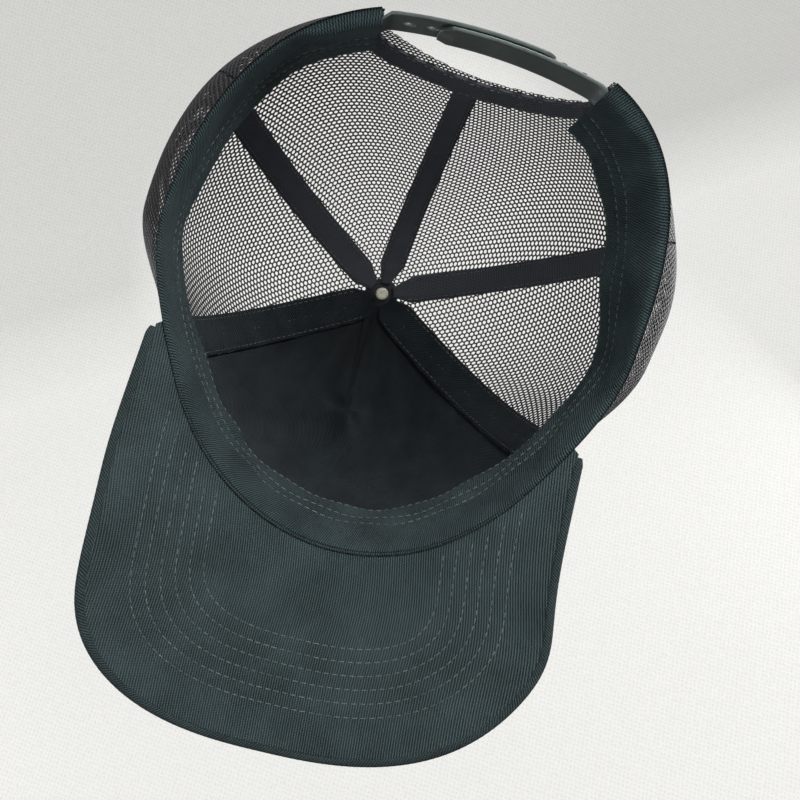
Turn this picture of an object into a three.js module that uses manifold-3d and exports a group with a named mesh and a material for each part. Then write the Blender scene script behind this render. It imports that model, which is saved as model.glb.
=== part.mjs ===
// Trucker cap: a twill front panel, four netting panels, a curved brim, a sweatband,
// a bound arch at the back and a two-strap snap closure.
// Millimetres. +Z is up on the wearer, the brim points to -Y and +X is the wearer's left.
// The origin is the centre of the head opening, in the plane of the rim at the wearer's sides.
import * as THREE from "three";
import { mergeVertices } from "three/addons/utils/BufferGeometryUtils.js";
import Module from "manifold-3d";

const RIM_HALF_WIDTH = 87;
const FRONT_HALF_WIDTH = 79.5;
const FRONT_HALF_LENGTH = 96.5;
const REAR_HALF_LENGTH = 98;
const REAR_SQUARENESS = 2.6;
const CROWN_HEIGHT = 118;
const CROWN_TOP_ELEVATION = 87;
const CROWN_TOP_SET_BACK = 5;
const CLOTH = 1.2;
const LAYER_GAP = 0.3;
const SEAM_GAP = 0.4;
const REAR_SKEW = 0.1;
const REAR_SKEW_EASE = 15;
const REAR_TURN = 0.015;
const REAR_TURN_FROM = 40;
const REAR_TURN_TO = 90;
const FRONT_SHIFT = 3;
const FRONT_SHIFT_MIDDLE = -110;
const FRONT_SHIFT_SPREAD = 22;
const FRONT_TURN = 0.04;
const FRONT_TURN_FROM = 85;
const FRONT_TURN_TO = 130;

const SIDE_FULLNESS = 0.15;
const FRONT_FULLNESS = -0.05;
const BAND_SIDE_SHARE = 0.8;
const PROFILE_SQUARENESS = 2.2;
const FRONT_EXTRA_SQUARENESS = 0.05;
const SIDE_EXTRA_SQUARENESS = 0.75;

const FRONT_SEAM = 66;
const LEFT_SIDE_SEAM = 119.5;
const RIGHT_SIDE_SEAM = 115.4;
const CENTRE_BACK_SEAM = 178.5;
const TAPE_WIDTH = 11;
const TAPE_THICKNESS = 1;
const TAPE_GAP = 0.7;
const FRONT_BAND_WIDTH = 9.5;
const FRONT_BAND_TURN = 5;
const TAPE_TOP_TURN = 22;
const FRONT_BAND_TOP_TURN = 55;
const TAPE_BOTTOM = 1;

const SWEATBAND_HEIGHT = 32;
const SWEATBAND_INSET = 4.8;
const SWEATBAND_LEAN = 5;
const SWEATBAND_THICKNESS = 1.4;
const SWEATBAND_END_GAP = 2.5;

const BRIM_CORNER = 68;
const BRIM_HALF_WIDTH = 76.6;
const BRIM_WIDEST_Y = -99;
const BRIM_FRONT_Y = -163.5;
const BRIM_SQUARENESS = 2.35;
const BRIM_SIDE_DROP = 35;
const BRIM_DROP_WIDTH = 82;
const BRIM_PITCH = 0.325;
const BRIM_ROOT_GAP = 0.6;
const BRIM_CLOTH = 0.5;
const BRIM_BOARD = 1.7;
const BRIM_SIDE_SHARE = 0.36;
const BRIM_CORNER_SET_BACK = 1.5;
const BRIM_EDGE_END = 0.004;

const ARCH_HALF_WIDTH = 42.5;
const ARCH_SIDE_HEIGHT = 22;
const ARCH_HEIGHT = 48;
const ARCH_BINDING_WIDTH = 8;
const ARCH_BINDING_EDGE = 0.4;
const ARCH_BINDING_TILT = 2;
const ARCH_BOTTOM = 1;
const ARCH_TAPE_GAP = 1.5;

const STRAP_HEIGHT = 20;
const STRAP_BOTTOM = 2;
const STRAP_THICKNESS = 1.5;
const STRAP_ROOT = 41;
const STRAP_END_MARGIN = 5.5;
const STRAP_FACE_GAP = 0.4;
const STRAP_CORNER = 4;
const CLOSURE_RADIUS = 200;
const CLOSURE_MIDDLE_Y = 94.6;
const TAB_LENGTH = 10;
const PEG_PITCH = 8.2;
const PEG_RADIUS = 1.65;
const PEG_LENGTH = 3.2;
const HOLE_RADIUS = 2.15;
const SNAPPED_PAIRS = 5;
const SPARE_SNAPS = 2;

const BUTTON_RADIUS = 7.2;
const BUTTON_DOME = 4.2;
const BUTTON_COVER = 0.7;
const BUTTON_SHELL = 0.6;
const RIVET_HEAD_RADIUS = 2.75;
const RIVET_HEAD_HEIGHT = 1.3;
const RIVET_POST_RADIUS = 1.3;

const RADIANS = Math.PI / 180;
const WELD = 1e-4;
const wasm = await Module();
wasm.setup();

// ---- Solids -------------------------------------------------------------------------

function signedVolume(geometry) {
  const at = geometry.getAttribute("position");
  const index = geometry.index.array;
  const corner = [new THREE.Vector3(), new THREE.Vector3(), new THREE.Vector3()];
  let volume = 0;
  for (let i = 0; i < index.length; i += 3) {
    corner.forEach((point, k) => point.fromBufferAttribute(at, index[i + k]));
    volume += corner[0].dot(corner[1].cross(corner[2])) / 6;
  }
  return volume;
}

function facingOut(geometry) {
  if (signedVolume(geometry) < 0) {
    const index = geometry.index.array;
    for (let i = 0; i < index.length; i += 3) {
      [index[i + 1], index[i + 2]] = [index[i + 2], index[i + 1]];
    }
  }
  return geometry;
}

// The same shape as one closed surface, its corners shared and its facets facing out.
function closed(geometry) {
  const bare = geometry.clone();
  bare.deleteAttribute("normal");
  bare.deleteAttribute("uv");
  return facingOut(mergeVertices(bare, WELD));
}

// A sheet is a box with a grid of facets, each corner moved to place(u, v, w).
// u and v run from 0 to 1 along the sheet, w from 0 to 1 through it.
function sheet(uSteps, vSteps, place) {
  const geometry = new THREE.BoxGeometry(1, 1, 1, uSteps, vSteps, 1);
  const at = geometry.getAttribute("position");
  for (let i = 0; i < at.count; i += 1) {
    const point = place(at.getX(i) + 0.5, at.getY(i) + 0.5, at.getZ(i) + 0.5);
    at.setXYZ(i, point.x, point.y, point.z);
  }
  return closed(geometry);
}

function toSolid(geometry) {
  const merged = closed(geometry);
  const vertProperties = new Float32Array(merged.getAttribute("position").array);
  const triVerts = new Uint32Array(merged.index.array);
  return new wasm.Manifold(new wasm.Mesh({ numProp: 3, vertProperties, triVerts }));
}

function toGeometry(solid) {
  const mesh = solid.getMesh();
  const geometry = new THREE.BufferGeometry();
  geometry.setAttribute("position", new THREE.BufferAttribute(mesh.vertProperties, 3));
  geometry.setIndex(new THREE.BufferAttribute(mesh.triVerts, 1));
  return geometry;
}

function smooth(from, to, value) {
  return THREE.MathUtils.smoothstep(value, from, to);
}

// A rounded square of the given squareness, seen from its centre: 2 is an ellipse.
function squareReach(sine, cosine, squareness) {
  return (Math.abs(sine) ** squareness + Math.abs(cosine) ** squareness) ** (-1 / squareness);
}

// ---- Crown --------------------------------------------------------------------------

// Azimuth is 0 at the front and grows towards the wearer's left.
function rimPoint(azimuth) {
  const sine = Math.sin(azimuth);
  const cosine = Math.cos(azimuth);
  const reach = squareReach(sine, cosine, cosine > 0 ? 2 : REAR_SQUARENESS);
  const widening = smooth(55, 92, Math.abs(azimuth) / RADIANS);
  const halfWidth = THREE.MathUtils.lerp(FRONT_HALF_WIDTH, RIM_HALF_WIDTH, widening);
  const halfLength = cosine > 0 ? FRONT_HALF_LENGTH : REAR_HALF_LENGTH;
  return new THREE.Vector2(halfWidth * sine * reach, -halfLength * cosine * reach);
}

function rimNormal(azimuth) {
  const step = 1e-3;
  const along = rimPoint(azimuth + step).sub(rimPoint(azimuth - step)).normalize();
  return new THREE.Vector2(along.y, -along.x);
}

// The brim's underside, which the front of the rim follows. It is level with the rest of
// the rim at the brim's two corners.
function brimUnderside(x, y) {
  const corner = rimPoint(BRIM_CORNER * RADIANS);
  const drop = BRIM_SIDE_DROP * (x ** 2 - corner.x ** 2) / BRIM_DROP_WIDTH ** 2;
  return BRIM_PITCH * (y - corner.y) - drop;
}

function rimHeight(azimuth) {
  if (Math.abs(azimuth) > BRIM_CORNER * RADIANS) {
    return 0;
  }
  const rim = rimPoint(azimuth);
  return Math.max(0, brimUnderside(rim.x, rim.y));
}

// How far the crown swells past the rim, as a share of its reach. The front panel is
// hollow, the netting full at the sides and plain at the back.
function panelFullness(azimuth) {
  const turn = Math.abs(azimuth) / RADIANS;
  const front = FRONT_FULLNESS * (1 - smooth(35, 64, turn));
  const side = SIDE_FULLNESS * smooth(62, 92, turn) * (1 - smooth(100, 165, turn));
  return front + side;
}

// The crown's swell where the sweatband follows it: as the front panel, and little behind it.
function bandFullness(azimuth) {
  return FRONT_FULLNESS * (1 - BAND_SIDE_SHARE * smooth(35, 80, Math.abs(azimuth) / RADIANS));
}

function profileSquareness(azimuth) {
  const front = FRONT_EXTRA_SQUARENESS * Math.cos(azimuth);
  return PROFILE_SQUARENESS + front + SIDE_EXTRA_SQUARENESS * Math.sin(azimuth) ** 2;
}

// Elevation is 0 on the rim and 90 degrees at the top of the crown.
function crownSurface(azimuth, elevation, fullness) {
  const sine = Math.sin(elevation);
  const cosine = Math.cos(elevation);
  const reach = squareReach(sine, cosine, profileSquareness(azimuth));
  const rise = sine * reach;
  const swell = 1 + fullness(azimuth) * Math.sin((2 * Math.PI * rise) / (1 + rise));
  const spread = cosine * reach * swell;
  const rim = rimPoint(azimuth);
  const y = THREE.MathUtils.lerp(CROWN_TOP_SET_BACK, rim.y, spread);
  const base = rimHeight(azimuth);
  return new THREE.Vector3(rim.x * spread, y, base + (CROWN_HEIGHT - base) * rise);
}

// A point below the crown's outer face, square to that face.
function crownPoint(azimuth, elevation, depth) {
  const step = 1e-3;
  const here = crownSurface(azimuth, elevation, panelFullness);
  const along = crownSurface(azimuth + step, elevation, panelFullness).sub(here);
  const up = crownSurface(azimuth, elevation + step, panelFullness).sub(here);
  return here.addScaledVector(along.cross(up).normalize(), -depth);
}

function elevationAt(azimuth, height) {
  const base = rimHeight(azimuth);
  const rise = (height - base) / (CROWN_HEIGHT - base);
  const squareness = profileSquareness(azimuth);
  return Math.atan2(rise, (1 - rise ** squareness) ** (1 / squareness));
}

function crownRadius(azimuth, elevation) {
  const point = crownSurface(azimuth, elevation, panelFullness);
  return Math.hypot(point.x, point.y - CROWN_TOP_SET_BACK);
}

function crownPanel(fromSeam, toSeam, uSteps, vSteps) {
  return sheet(uSteps, vSteps, (u, v, w) => {
    const elevation = v * CROWN_TOP_ELEVATION * RADIANS;
    const middle = 0.5 * (fromSeam + toSeam) * RADIANS;
    const gap = SEAM_GAP / 2 / crownRadius(middle, elevation);
    const azimuth = THREE.MathUtils.lerp(fromSeam * RADIANS + gap, toSeam * RADIANS - gap, u);
    return crownPoint(azimuth, elevation, CLOTH * (1 - w));
  });
}

// A tape inside the crown along a seam. Each side has its width, and the turn about the
// crown's top that it is kept within, as all the tapes meet there.
function seamTape(seam, leftSide, rightSide, bottom) {
  const depth = CLOTH + TAPE_GAP;
  return sheet(2, 18, (u, v, w) => {
    const lowest = elevationAt(seam * RADIANS, bottom);
    const elevation = THREE.MathUtils.lerp(lowest, CROWN_TOP_ELEVATION * RADIANS, v);
    const radius = crownRadius(seam * RADIANS, elevation);
    const left = Math.min(leftSide.width / radius, leftSide.turn * RADIANS);
    const right = Math.min(rightSide.width / radius, rightSide.turn * RADIANS);
    const azimuth = seam * RADIANS + THREE.MathUtils.lerp(-right, left, u);
    return crownPoint(azimuth, elevation, depth + TAPE_THICKNESS * (1 - w));
  });
}

function sweatband() {
  const end = rearAzimuth(ARCH_HALF_WIDTH + SWEATBAND_END_GAP, 1);
  return sheet(56, 3, (u, v, w) => {
    const azimuth = THREE.MathUtils.lerp(-end, end, u);
    const height = rimHeight(azimuth) + v * SWEATBAND_HEIGHT;
    const point = crownSurface(azimuth, elevationAt(azimuth, height), bandFullness);
    const inset = SWEATBAND_INSET + SWEATBAND_LEAN * v + SWEATBAND_THICKNESS * w;
    const normal = rimNormal(azimuth);
    return new THREE.Vector3(point.x - inset * normal.x, point.y - inset * normal.y, point.z);
  });
}

// ---- Rear arch ----------------------------------------------------------------------

// The azimuth, behind the wearer, at which a ring of the given share of the rim reaches x.
function rearAzimuth(x, share) {
  const side = Math.abs(x) / (RIM_HALF_WIDTH * share);
  const back = (1 - side ** REAR_SQUARENESS) ** (1 / REAR_SQUARENESS);
  return Math.sign(x) * (Math.PI - Math.atan2(side, back));
}

// The crown at the back, found from how far left and how high the point is.
function rearPoint(x, height, depth) {
  const reachX = Math.sign(x || 1) * Math.max(Math.abs(x), 1e-3);
  let azimuth = rearAzimuth(reachX, 1);
  let elevation = elevationAt(azimuth, height);
  for (let pass = 0; pass < 12; pass += 1) {
    const share = crownSurface(azimuth, elevation, panelFullness).x / rimPoint(azimuth).x;
    azimuth = rearAzimuth(reachX, share);
    elevation = elevationAt(azimuth, height);
  }
  return crownPoint(azimuth, elevation, depth);
}

function archPath() {
  const path = new THREE.Path();
  path.moveTo(ARCH_HALF_WIDTH, ARCH_BOTTOM);
  path.lineTo(ARCH_HALF_WIDTH, ARCH_SIDE_HEIGHT);
  const topRadius = ARCH_HEIGHT - ARCH_SIDE_HEIGHT;
  path.absellipse(0, ARCH_SIDE_HEIGHT, ARCH_HALF_WIDTH, topRadius, 0, Math.PI);
  path.lineTo(-ARCH_HALF_WIDTH, ARCH_BOTTOM);
  return path;
}

function archCutter() {
  const below = -20;
  const shape = new THREE.Shape(archPath().getPoints(24));
  shape.lineTo(-ARCH_HALF_WIDTH, below);
  shape.lineTo(ARCH_HALF_WIDTH, below);
  const depth = REAR_HALF_LENGTH;
  const geometry = new THREE.ExtrudeGeometry(shape, { depth, bevelEnabled: false });
  geometry.rotateX(Math.PI / 2);
  geometry.translate(0, 1.3 * REAR_HALF_LENGTH, 0);
  return toSolid(geometry);
}

function rearPanel(fromSeam, toSeam) {
  const panel = toSolid(crownPanel(fromSeam, toSeam, 14, 16));
  return toGeometry(panel.subtract(archCutter()));
}

// The binding lies along the arch's edge. Over the top of the arch it tilts inwards.
function archBinding() {
  const path = archPath();
  return sheet(44, 1, (u, v, w) => {
    const point = path.getPointAt(u);
    const along = path.getTangentAt(u);
    const reach = ARCH_BINDING_EDGE + ARCH_BINDING_WIDTH * v;
    const tilt = ARCH_BINDING_TILT * v * smooth(ARCH_SIDE_HEIGHT, ARCH_HEIGHT, point.y);
    const depth = CLOTH + TAPE_GAP + tilt + TAPE_THICKNESS * w;
    return rearPoint(point.x + along.y * reach, point.y - along.x * reach, depth);
  });
}

// ---- Brim ---------------------------------------------------------------------------

// The brim's outer edge from the wearer's right corner, side 0, to the left corner, side 1.
function brimEdge(side) {
  const reach = Math.abs(2 * side - 1);
  const hand = Math.sign(2 * side - 1) || 1;
  const corner = rimPoint(BRIM_CORNER * RADIANS);
  if (reach > 1 - BRIM_SIDE_SHARE) {
    const back = (reach - 1 + BRIM_SIDE_SHARE) / BRIM_SIDE_SHARE;
    const y = THREE.MathUtils.lerp(BRIM_WIDEST_Y, corner.y - BRIM_CORNER_SET_BACK, back);
    return new THREE.Vector2(hand * BRIM_HALF_WIDTH, y);
  }
  const turn = (reach / (1 - BRIM_SIDE_SHARE)) * (Math.PI / 2);
  const sine = Math.sin(turn);
  const cosine = Math.cos(turn);
  const bow = squareReach(sine, cosine, BRIM_SQUARENESS);
  const length = BRIM_WIDEST_Y - BRIM_FRONT_Y;
  return new THREE.Vector2(hand * BRIM_HALF_WIDTH * sine * bow, BRIM_WIDEST_Y - length * cosine * bow);
}

function brimEdgeNormal(side) {
  const step = 1e-3;
  const along = brimEdge(side + step).sub(brimEdge(side - step)).normalize();
  return new THREE.Vector2(along.y, -along.x);
}

function brimRoot(side) {
  const azimuth = (2 * side - 1) * BRIM_CORNER * RADIANS;
  return rimPoint(azimuth).addScaledVector(rimNormal(azimuth), BRIM_ROOT_GAP);
}

function brimLayer(lift, thickness) {
  return sheet(30, 6, (u, v, w) => {
    const plan = brimRoot(u).lerp(brimEdge(u), v);
    return new THREE.Vector3(plan.x, plan.y, brimUnderside(plan.x, plan.y) + lift + thickness * w);
  });
}

function brimThickness() {
  return 2 * BRIM_CLOTH + 2 * LAYER_GAP + BRIM_BOARD;
}

function brimEdgeBinding() {
  const radius = brimThickness() / 2;
  const points = [];
  const steps = 40;
  for (let i = 0; i <= steps; i += 1) {
    const side = THREE.MathUtils.lerp(BRIM_EDGE_END, 1 - BRIM_EDGE_END, i / steps);
    const plan = brimEdge(side).addScaledVector(brimEdgeNormal(side), radius + LAYER_GAP);
    const height = brimUnderside(plan.x, plan.y) + radius;
    points.push(new THREE.Vector3(plan.x, plan.y, height));
  }
  const section = new THREE.Shape();
  section.absarc(0, 0, radius, 0, 2 * Math.PI);
  const extrudePath = new THREE.CatmullRomCurve3(points);
  return new THREE.ExtrudeGeometry(section, { extrudePath, steps: 52, curveSegments: 4 });
}

// ---- Snap closure -------------------------------------------------------------------

// A point on the closure: along is measured round it from the middle towards the wearer's
// left, and out from the surface between the two straps.
function closurePoint(along, out, height) {
  const angle = along / CLOSURE_RADIUS;
  const reach = CLOSURE_RADIUS + out;
  const centreY = CLOSURE_MIDDLE_Y - CLOSURE_RADIUS;
  return new THREE.Vector3(reach * Math.sin(angle), centreY + reach * Math.cos(angle), height);
}

function snapPlaces(hand) {
  const places = [];
  const outermost = (PEG_PITCH * (SNAPPED_PAIRS - 1)) / 2;
  for (let i = 0; i < SNAPPED_PAIRS + SPARE_SNAPS; i += 1) {
    places.push(hand * (i * PEG_PITCH - outermost));
  }
  return places;
}

function strapTip(hand) {
  return -hand * ((PEG_PITCH * (SNAPPED_PAIRS - 1)) / 2 + STRAP_END_MARGIN);
}

// A strap from its sewn end at the side called hand to its free end, with cut-off corners.
function strapBlank(hand, inner) {
  const root = hand * STRAP_ROOT;
  const tip = strapTip(hand);
  const shape = sheet(8, 4, (u, v, w) => {
    const middle = Math.abs(v - 0.5) < 0.3;
    const end = tip + (middle ? 0 : hand * STRAP_CORNER);
    const along = THREE.MathUtils.lerp(root, end, u);
    const height = STRAP_BOTTOM + STRAP_HEIGHT * v;
    return closurePoint(along, inner + STRAP_THICKNESS * w, height);
  });
  return toSolid(shape);
}

// A short bar square to the straps at one snap place.
function snapBar(along, radius, from, to) {
  const middle = STRAP_BOTTOM + STRAP_HEIGHT / 2;
  const geometry = new THREE.CylinderGeometry(radius, radius, to - from, 12);
  geometry.rotateZ(-along / CLOSURE_RADIUS);
  const centre = closurePoint(along, (from + to) / 2, middle);
  geometry.translate(centre.x, centre.y, centre.z);
  return toSolid(geometry);
}

function holeStrap() {
  const inner = STRAP_FACE_GAP / 2;
  let strap = strapBlank(1, inner);
  for (const along of snapPlaces(1)) {
    strap = strap.subtract(snapBar(along, HOLE_RADIUS, inner - 1, inner + STRAP_THICKNESS + 1));
  }
  return toGeometry(strap);
}

function pegStrap() {
  const outer = -STRAP_FACE_GAP / 2;
  let strap = strapBlank(-1, outer - STRAP_THICKNESS);
  for (const along of snapPlaces(-1)) {
    strap = strap.add(snapBar(along, PEG_RADIUS, outer - STRAP_THICKNESS / 2, outer + PEG_LENGTH));
  }
  return toGeometry(strap);
}

// The end of a strap that is sewn in between the netting and the sweatband.
function strapTab(hand) {
  const start = ARCH_HALF_WIDTH + 1;
  const depth = CLOTH + TAPE_GAP + TAPE_THICKNESS + LAYER_GAP;
  return sheet(3, 1, (u, v, w) => {
    const x = hand * (start + TAB_LENGTH * u);
    const height = STRAP_BOTTOM + STRAP_HEIGHT * v;
    return rearPoint(x, height, depth + STRAP_THICKNESS * w);
  });
}

// ---- Top button ---------------------------------------------------------------------

// A profile turned about the upright line through the top of the crown.
function turned(profile, segments) {
  const geometry = new THREE.LatheGeometry(profile, segments);
  return geometry.rotateX(Math.PI / 2).translate(0, CROWN_TOP_SET_BACK, 0);
}

// A hollow dome, open underneath, with its lip at the given height.
function dome(radius, height, thickness, lip) {
  const arc = 6;
  const profile = [];
  for (let i = 0; i <= arc; i += 1) {
    const turn = (i / arc) * (Math.PI / 2);
    profile.push(new THREE.Vector2(radius * Math.cos(turn), lip + height * Math.sin(turn)));
  }
  profile[arc].x = 0;
  for (let i = arc; i >= 0; i -= 1) {
    const turn = (i / arc) * (Math.PI / 2);
    const inside = new THREE.Vector2((radius - thickness) * Math.cos(turn), lip);
    inside.y += (height - thickness) * Math.sin(turn);
    profile.push(inside);
  }
  profile[arc + 1].x = 0;
  profile.push(profile[0].clone());
  return turned(profile.reverse(), 18);
}

function buttonCover() {
  return dome(BUTTON_RADIUS, BUTTON_DOME, BUTTON_COVER, CROWN_HEIGHT + LAYER_GAP);
}

function buttonShell() {
  const radius = BUTTON_RADIUS - BUTTON_COVER - LAYER_GAP;
  const height = BUTTON_DOME - BUTTON_COVER - LAYER_GAP;
  return dome(radius, height, BUTTON_SHELL, CROWN_HEIGHT + LAYER_GAP);
}

function buttonRivet() {
  const headTop = CROWN_HEIGHT - CLOTH - TAPE_GAP - TAPE_THICKNESS - LAYER_GAP;
  const headBottom = headTop - RIVET_HEAD_HEIGHT;
  const postTop = CROWN_HEIGHT + BUTTON_DOME - BUTTON_COVER - BUTTON_SHELL - 2 * LAYER_GAP;
  const edge = RIVET_HEAD_HEIGHT / 3;
  const profile = [
    new THREE.Vector2(0, headBottom),
    new THREE.Vector2(RIVET_HEAD_RADIUS - edge, headBottom),
    new THREE.Vector2(RIVET_HEAD_RADIUS, headBottom + edge),
    new THREE.Vector2(RIVET_HEAD_RADIUS, headTop),
    new THREE.Vector2(RIVET_POST_RADIUS, headTop),
    new THREE.Vector2(RIVET_POST_RADIUS, postTop),
    new THREE.Vector2(0, postTop),
  ];
  return turned(profile, 16);
}

// ---- Assembly -----------------------------------------------------------------------

const cap = new THREE.Group();

// The soft cap sits a little askew: its back and the brim's widest part are pushed towards
// the wearer's right, and the brim's front edge is turned.
function skewed(geometry) {
  const at = geometry.getAttribute("position");
  for (let i = 0; i < at.count; i += 1) {
    const x = at.getX(i);
    const y = at.getY(i);
    const back = Math.max(0, y);
    const push = (REAR_SKEW * back ** 2) / (back + REAR_SKEW_EASE);
    const shift = FRONT_SHIFT * Math.exp(-(((y - FRONT_SHIFT_MIDDLE) / FRONT_SHIFT_SPREAD) ** 2));
    const frontTurn = FRONT_TURN * smooth(FRONT_TURN_FROM, FRONT_TURN_TO, -y);
    const rearTurn = REAR_TURN * smooth(REAR_TURN_FROM, REAR_TURN_TO, y);
    at.setX(i, x - push - shift);
    at.setY(i, y - (frontTurn + rearTurn) * x);
  }
  return geometry;
}

function addPart(name, geometry, color, roughness, metalness = 0) {
  const material = new THREE.MeshStandardMaterial({ color, roughness, metalness });
  const mesh = new THREE.Mesh(skewed(closed(geometry)), material);
  mesh.name = name;
  cap.add(mesh);
}

const TWILL = 0x2a3033;
const TWILL_LIGHT = 0x343b3f;
const NETTING = 0x15181a;
const TAPE = 0x1a1d1f;
const STRAP = 0x33383a;

const leftPanel = [FRONT_SEAM, LEFT_SIDE_SEAM];
const rightPanel = [-RIGHT_SIDE_SEAM, -FRONT_SEAM];
addPart("front_panel", crownPanel(-FRONT_SEAM, FRONT_SEAM, 24, 16), TWILL, 0.95);
addPart("mesh_side_left", crownPanel(...leftPanel, 12, 16), NETTING, 0.8);
addPart("mesh_back_left", rearPanel(LEFT_SIDE_SEAM, CENTRE_BACK_SEAM), NETTING, 0.8);
addPart("mesh_back_right", rearPanel(CENTRE_BACK_SEAM - 360, -RIGHT_SIDE_SEAM), NETTING, 0.8);
addPart("mesh_side_right", crownPanel(...rightPanel, 12, 16), NETTING, 0.8);

const half = { width: TAPE_WIDTH / 2, turn: TAPE_TOP_TURN };
const netSide = { width: FRONT_BAND_TURN, turn: TAPE_TOP_TURN };
const frontSide = { width: FRONT_BAND_WIDTH, turn: FRONT_BAND_TOP_TURN };
const archTop = ARCH_HEIGHT + ARCH_BINDING_WIDTH + ARCH_TAPE_GAP;
addPart("seam_band_front_left", seamTape(FRONT_SEAM, netSide, frontSide, TAPE_BOTTOM), TWILL, 0.95);
addPart("seam_band_front_right", seamTape(-FRONT_SEAM, frontSide, netSide, TAPE_BOTTOM), TWILL, 0.95);
addPart("seam_tape_side_left", seamTape(LEFT_SIDE_SEAM, half, half, TAPE_BOTTOM), TAPE, 0.9);
addPart("seam_tape_side_right", seamTape(-RIGHT_SIDE_SEAM, half, half, TAPE_BOTTOM), TAPE, 0.9);
addPart("seam_tape_centre_back", seamTape(CENTRE_BACK_SEAM, half, half, archTop), TAPE, 0.9);
addPart("arch_binding", archBinding(), TAPE, 0.9);
addPart("sweatband", sweatband(), TWILL, 0.95);

const boardLift = BRIM_CLOTH + LAYER_GAP;
const upperLift = boardLift + BRIM_BOARD + LAYER_GAP;
addPart("brim_under_cloth", brimLayer(0, BRIM_CLOTH), TWILL_LIGHT, 0.95);
addPart("brim_board", brimLayer(boardLift, BRIM_BOARD), 0xd8d6cf, 0.6);
addPart("brim_upper_cloth", brimLayer(upperLift, BRIM_CLOTH), TWILL_LIGHT, 0.95);
addPart("brim_edge_binding", brimEdgeBinding(), TWILL, 0.95);

addPart("hole_strap", holeStrap(), STRAP, 0.45);
addPart("hole_strap_sewn_end", strapTab(1), STRAP, 0.45);
addPart("peg_strap", pegStrap(), STRAP, 0.45);
addPart("peg_strap_sewn_end", strapTab(-1), STRAP, 0.45);

addPart("button_cover", buttonCover(), TWILL, 0.95);
addPart("button_shell", buttonShell(), 0xa8abad, 0.35, 1);
addPart("button_rivet", buttonRivet(), 0xe6dfcf, 0.4);

export default cap;
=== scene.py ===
import math

import bmesh
import bpy
import numpy as np
from mathutils import Matrix, Quaternion, Vector


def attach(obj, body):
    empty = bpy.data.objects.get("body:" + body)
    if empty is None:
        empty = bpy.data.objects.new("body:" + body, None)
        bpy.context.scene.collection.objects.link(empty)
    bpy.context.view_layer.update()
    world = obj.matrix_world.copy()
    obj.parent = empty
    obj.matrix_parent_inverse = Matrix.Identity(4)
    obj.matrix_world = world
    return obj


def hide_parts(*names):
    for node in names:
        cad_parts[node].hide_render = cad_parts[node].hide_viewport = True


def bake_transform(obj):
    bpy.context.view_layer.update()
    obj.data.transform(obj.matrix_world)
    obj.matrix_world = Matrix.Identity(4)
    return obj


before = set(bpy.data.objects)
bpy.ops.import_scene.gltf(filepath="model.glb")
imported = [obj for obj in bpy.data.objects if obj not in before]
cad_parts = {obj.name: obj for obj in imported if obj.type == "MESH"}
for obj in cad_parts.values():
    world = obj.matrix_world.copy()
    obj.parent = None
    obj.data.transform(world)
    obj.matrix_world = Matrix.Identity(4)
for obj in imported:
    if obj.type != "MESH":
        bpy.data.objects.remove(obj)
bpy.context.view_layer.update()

# A trucker cap. Metres; +Z is up on the wearer, the brim points to -Y and +X is the
# wearer's left. Azimuth is 0 at the front and grows towards the wearer's left.

DEGREE = math.pi / 180
MM = 0.001

# ---- The cap's shape, as in the CAD --------------------------------------------------

RIM_HALF_WIDTH = 87 * MM
FRONT_HALF_WIDTH = 79.5 * MM
FRONT_HALF_LENGTH = 96.5 * MM
REAR_HALF_LENGTH = 98 * MM
REAR_SQUARENESS = 2.6
CROWN_HEIGHT = 118 * MM
CROWN_TOP = 87 * DEGREE
PROFILE_SQUARENESS = 2.2
PROFILE_FRONT_MORE = 0.05
PROFILE_SIDE_MORE = 0.75
TOP_SET_BACK = 5 * MM
SIDE_FULLNESS = 0.15
FRONT_FULLNESS = -0.05
BAND_SIDE_LESS = 0.8
REAR_SKEW = 0.1
REAR_SKEW_EASE = 15 * MM
REAR_TURN = 0.015
REAR_TURN_ZONE = (40 * MM, 90 * MM)
FRONT_SHIFT = 3 * MM
FRONT_SHIFT_MIDDLE = -110 * MM
FRONT_SHIFT_SPREAD = 22 * MM
FRONT_TURN = 0.04
FRONT_TURN_ZONE = (85 * MM, 130 * MM)
FRONT_SEAM = 66 * DEGREE
LEFT_SIDE_SEAM = 119.5 * DEGREE
RIGHT_SIDE_SEAM = 115.4 * DEGREE
CENTRE_BACK_SEAM = 178.5 * DEGREE

SWEATBAND_HEIGHT = 32 * MM
SWEATBAND_INSET = 4.8 * MM
SWEATBAND_THICKNESS = 1.4 * MM

BRIM_CORNER = 68 * DEGREE
BRIM_HALF_WIDTH = 76.6 * MM
BRIM_WIDEST_Y = -99 * MM
BRIM_FRONT_Y = -163.5 * MM
BRIM_SQUARENESS = 2.35
BRIM_SIDE_DROP = 35 * MM
BRIM_DROP_WIDTH = 82 * MM
BRIM_PITCH = 0.325
BRIM_SIDE_SHARE = 0.36
BRIM_CORNER_SET_BACK = 1.5 * MM
BRIM_THICKNESS = 3.3 * MM
BRIM_CLOTH = 0.5 * MM

ARCH_HALF_WIDTH = 42.5 * MM
ARCH_SIDE_HEIGHT = 22 * MM
ARCH_HEIGHT = 48 * MM
ARCH_BINDING_WIDTH = 8 * MM
ARCH_BINDING_TILT = 2.2 * MM

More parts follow.
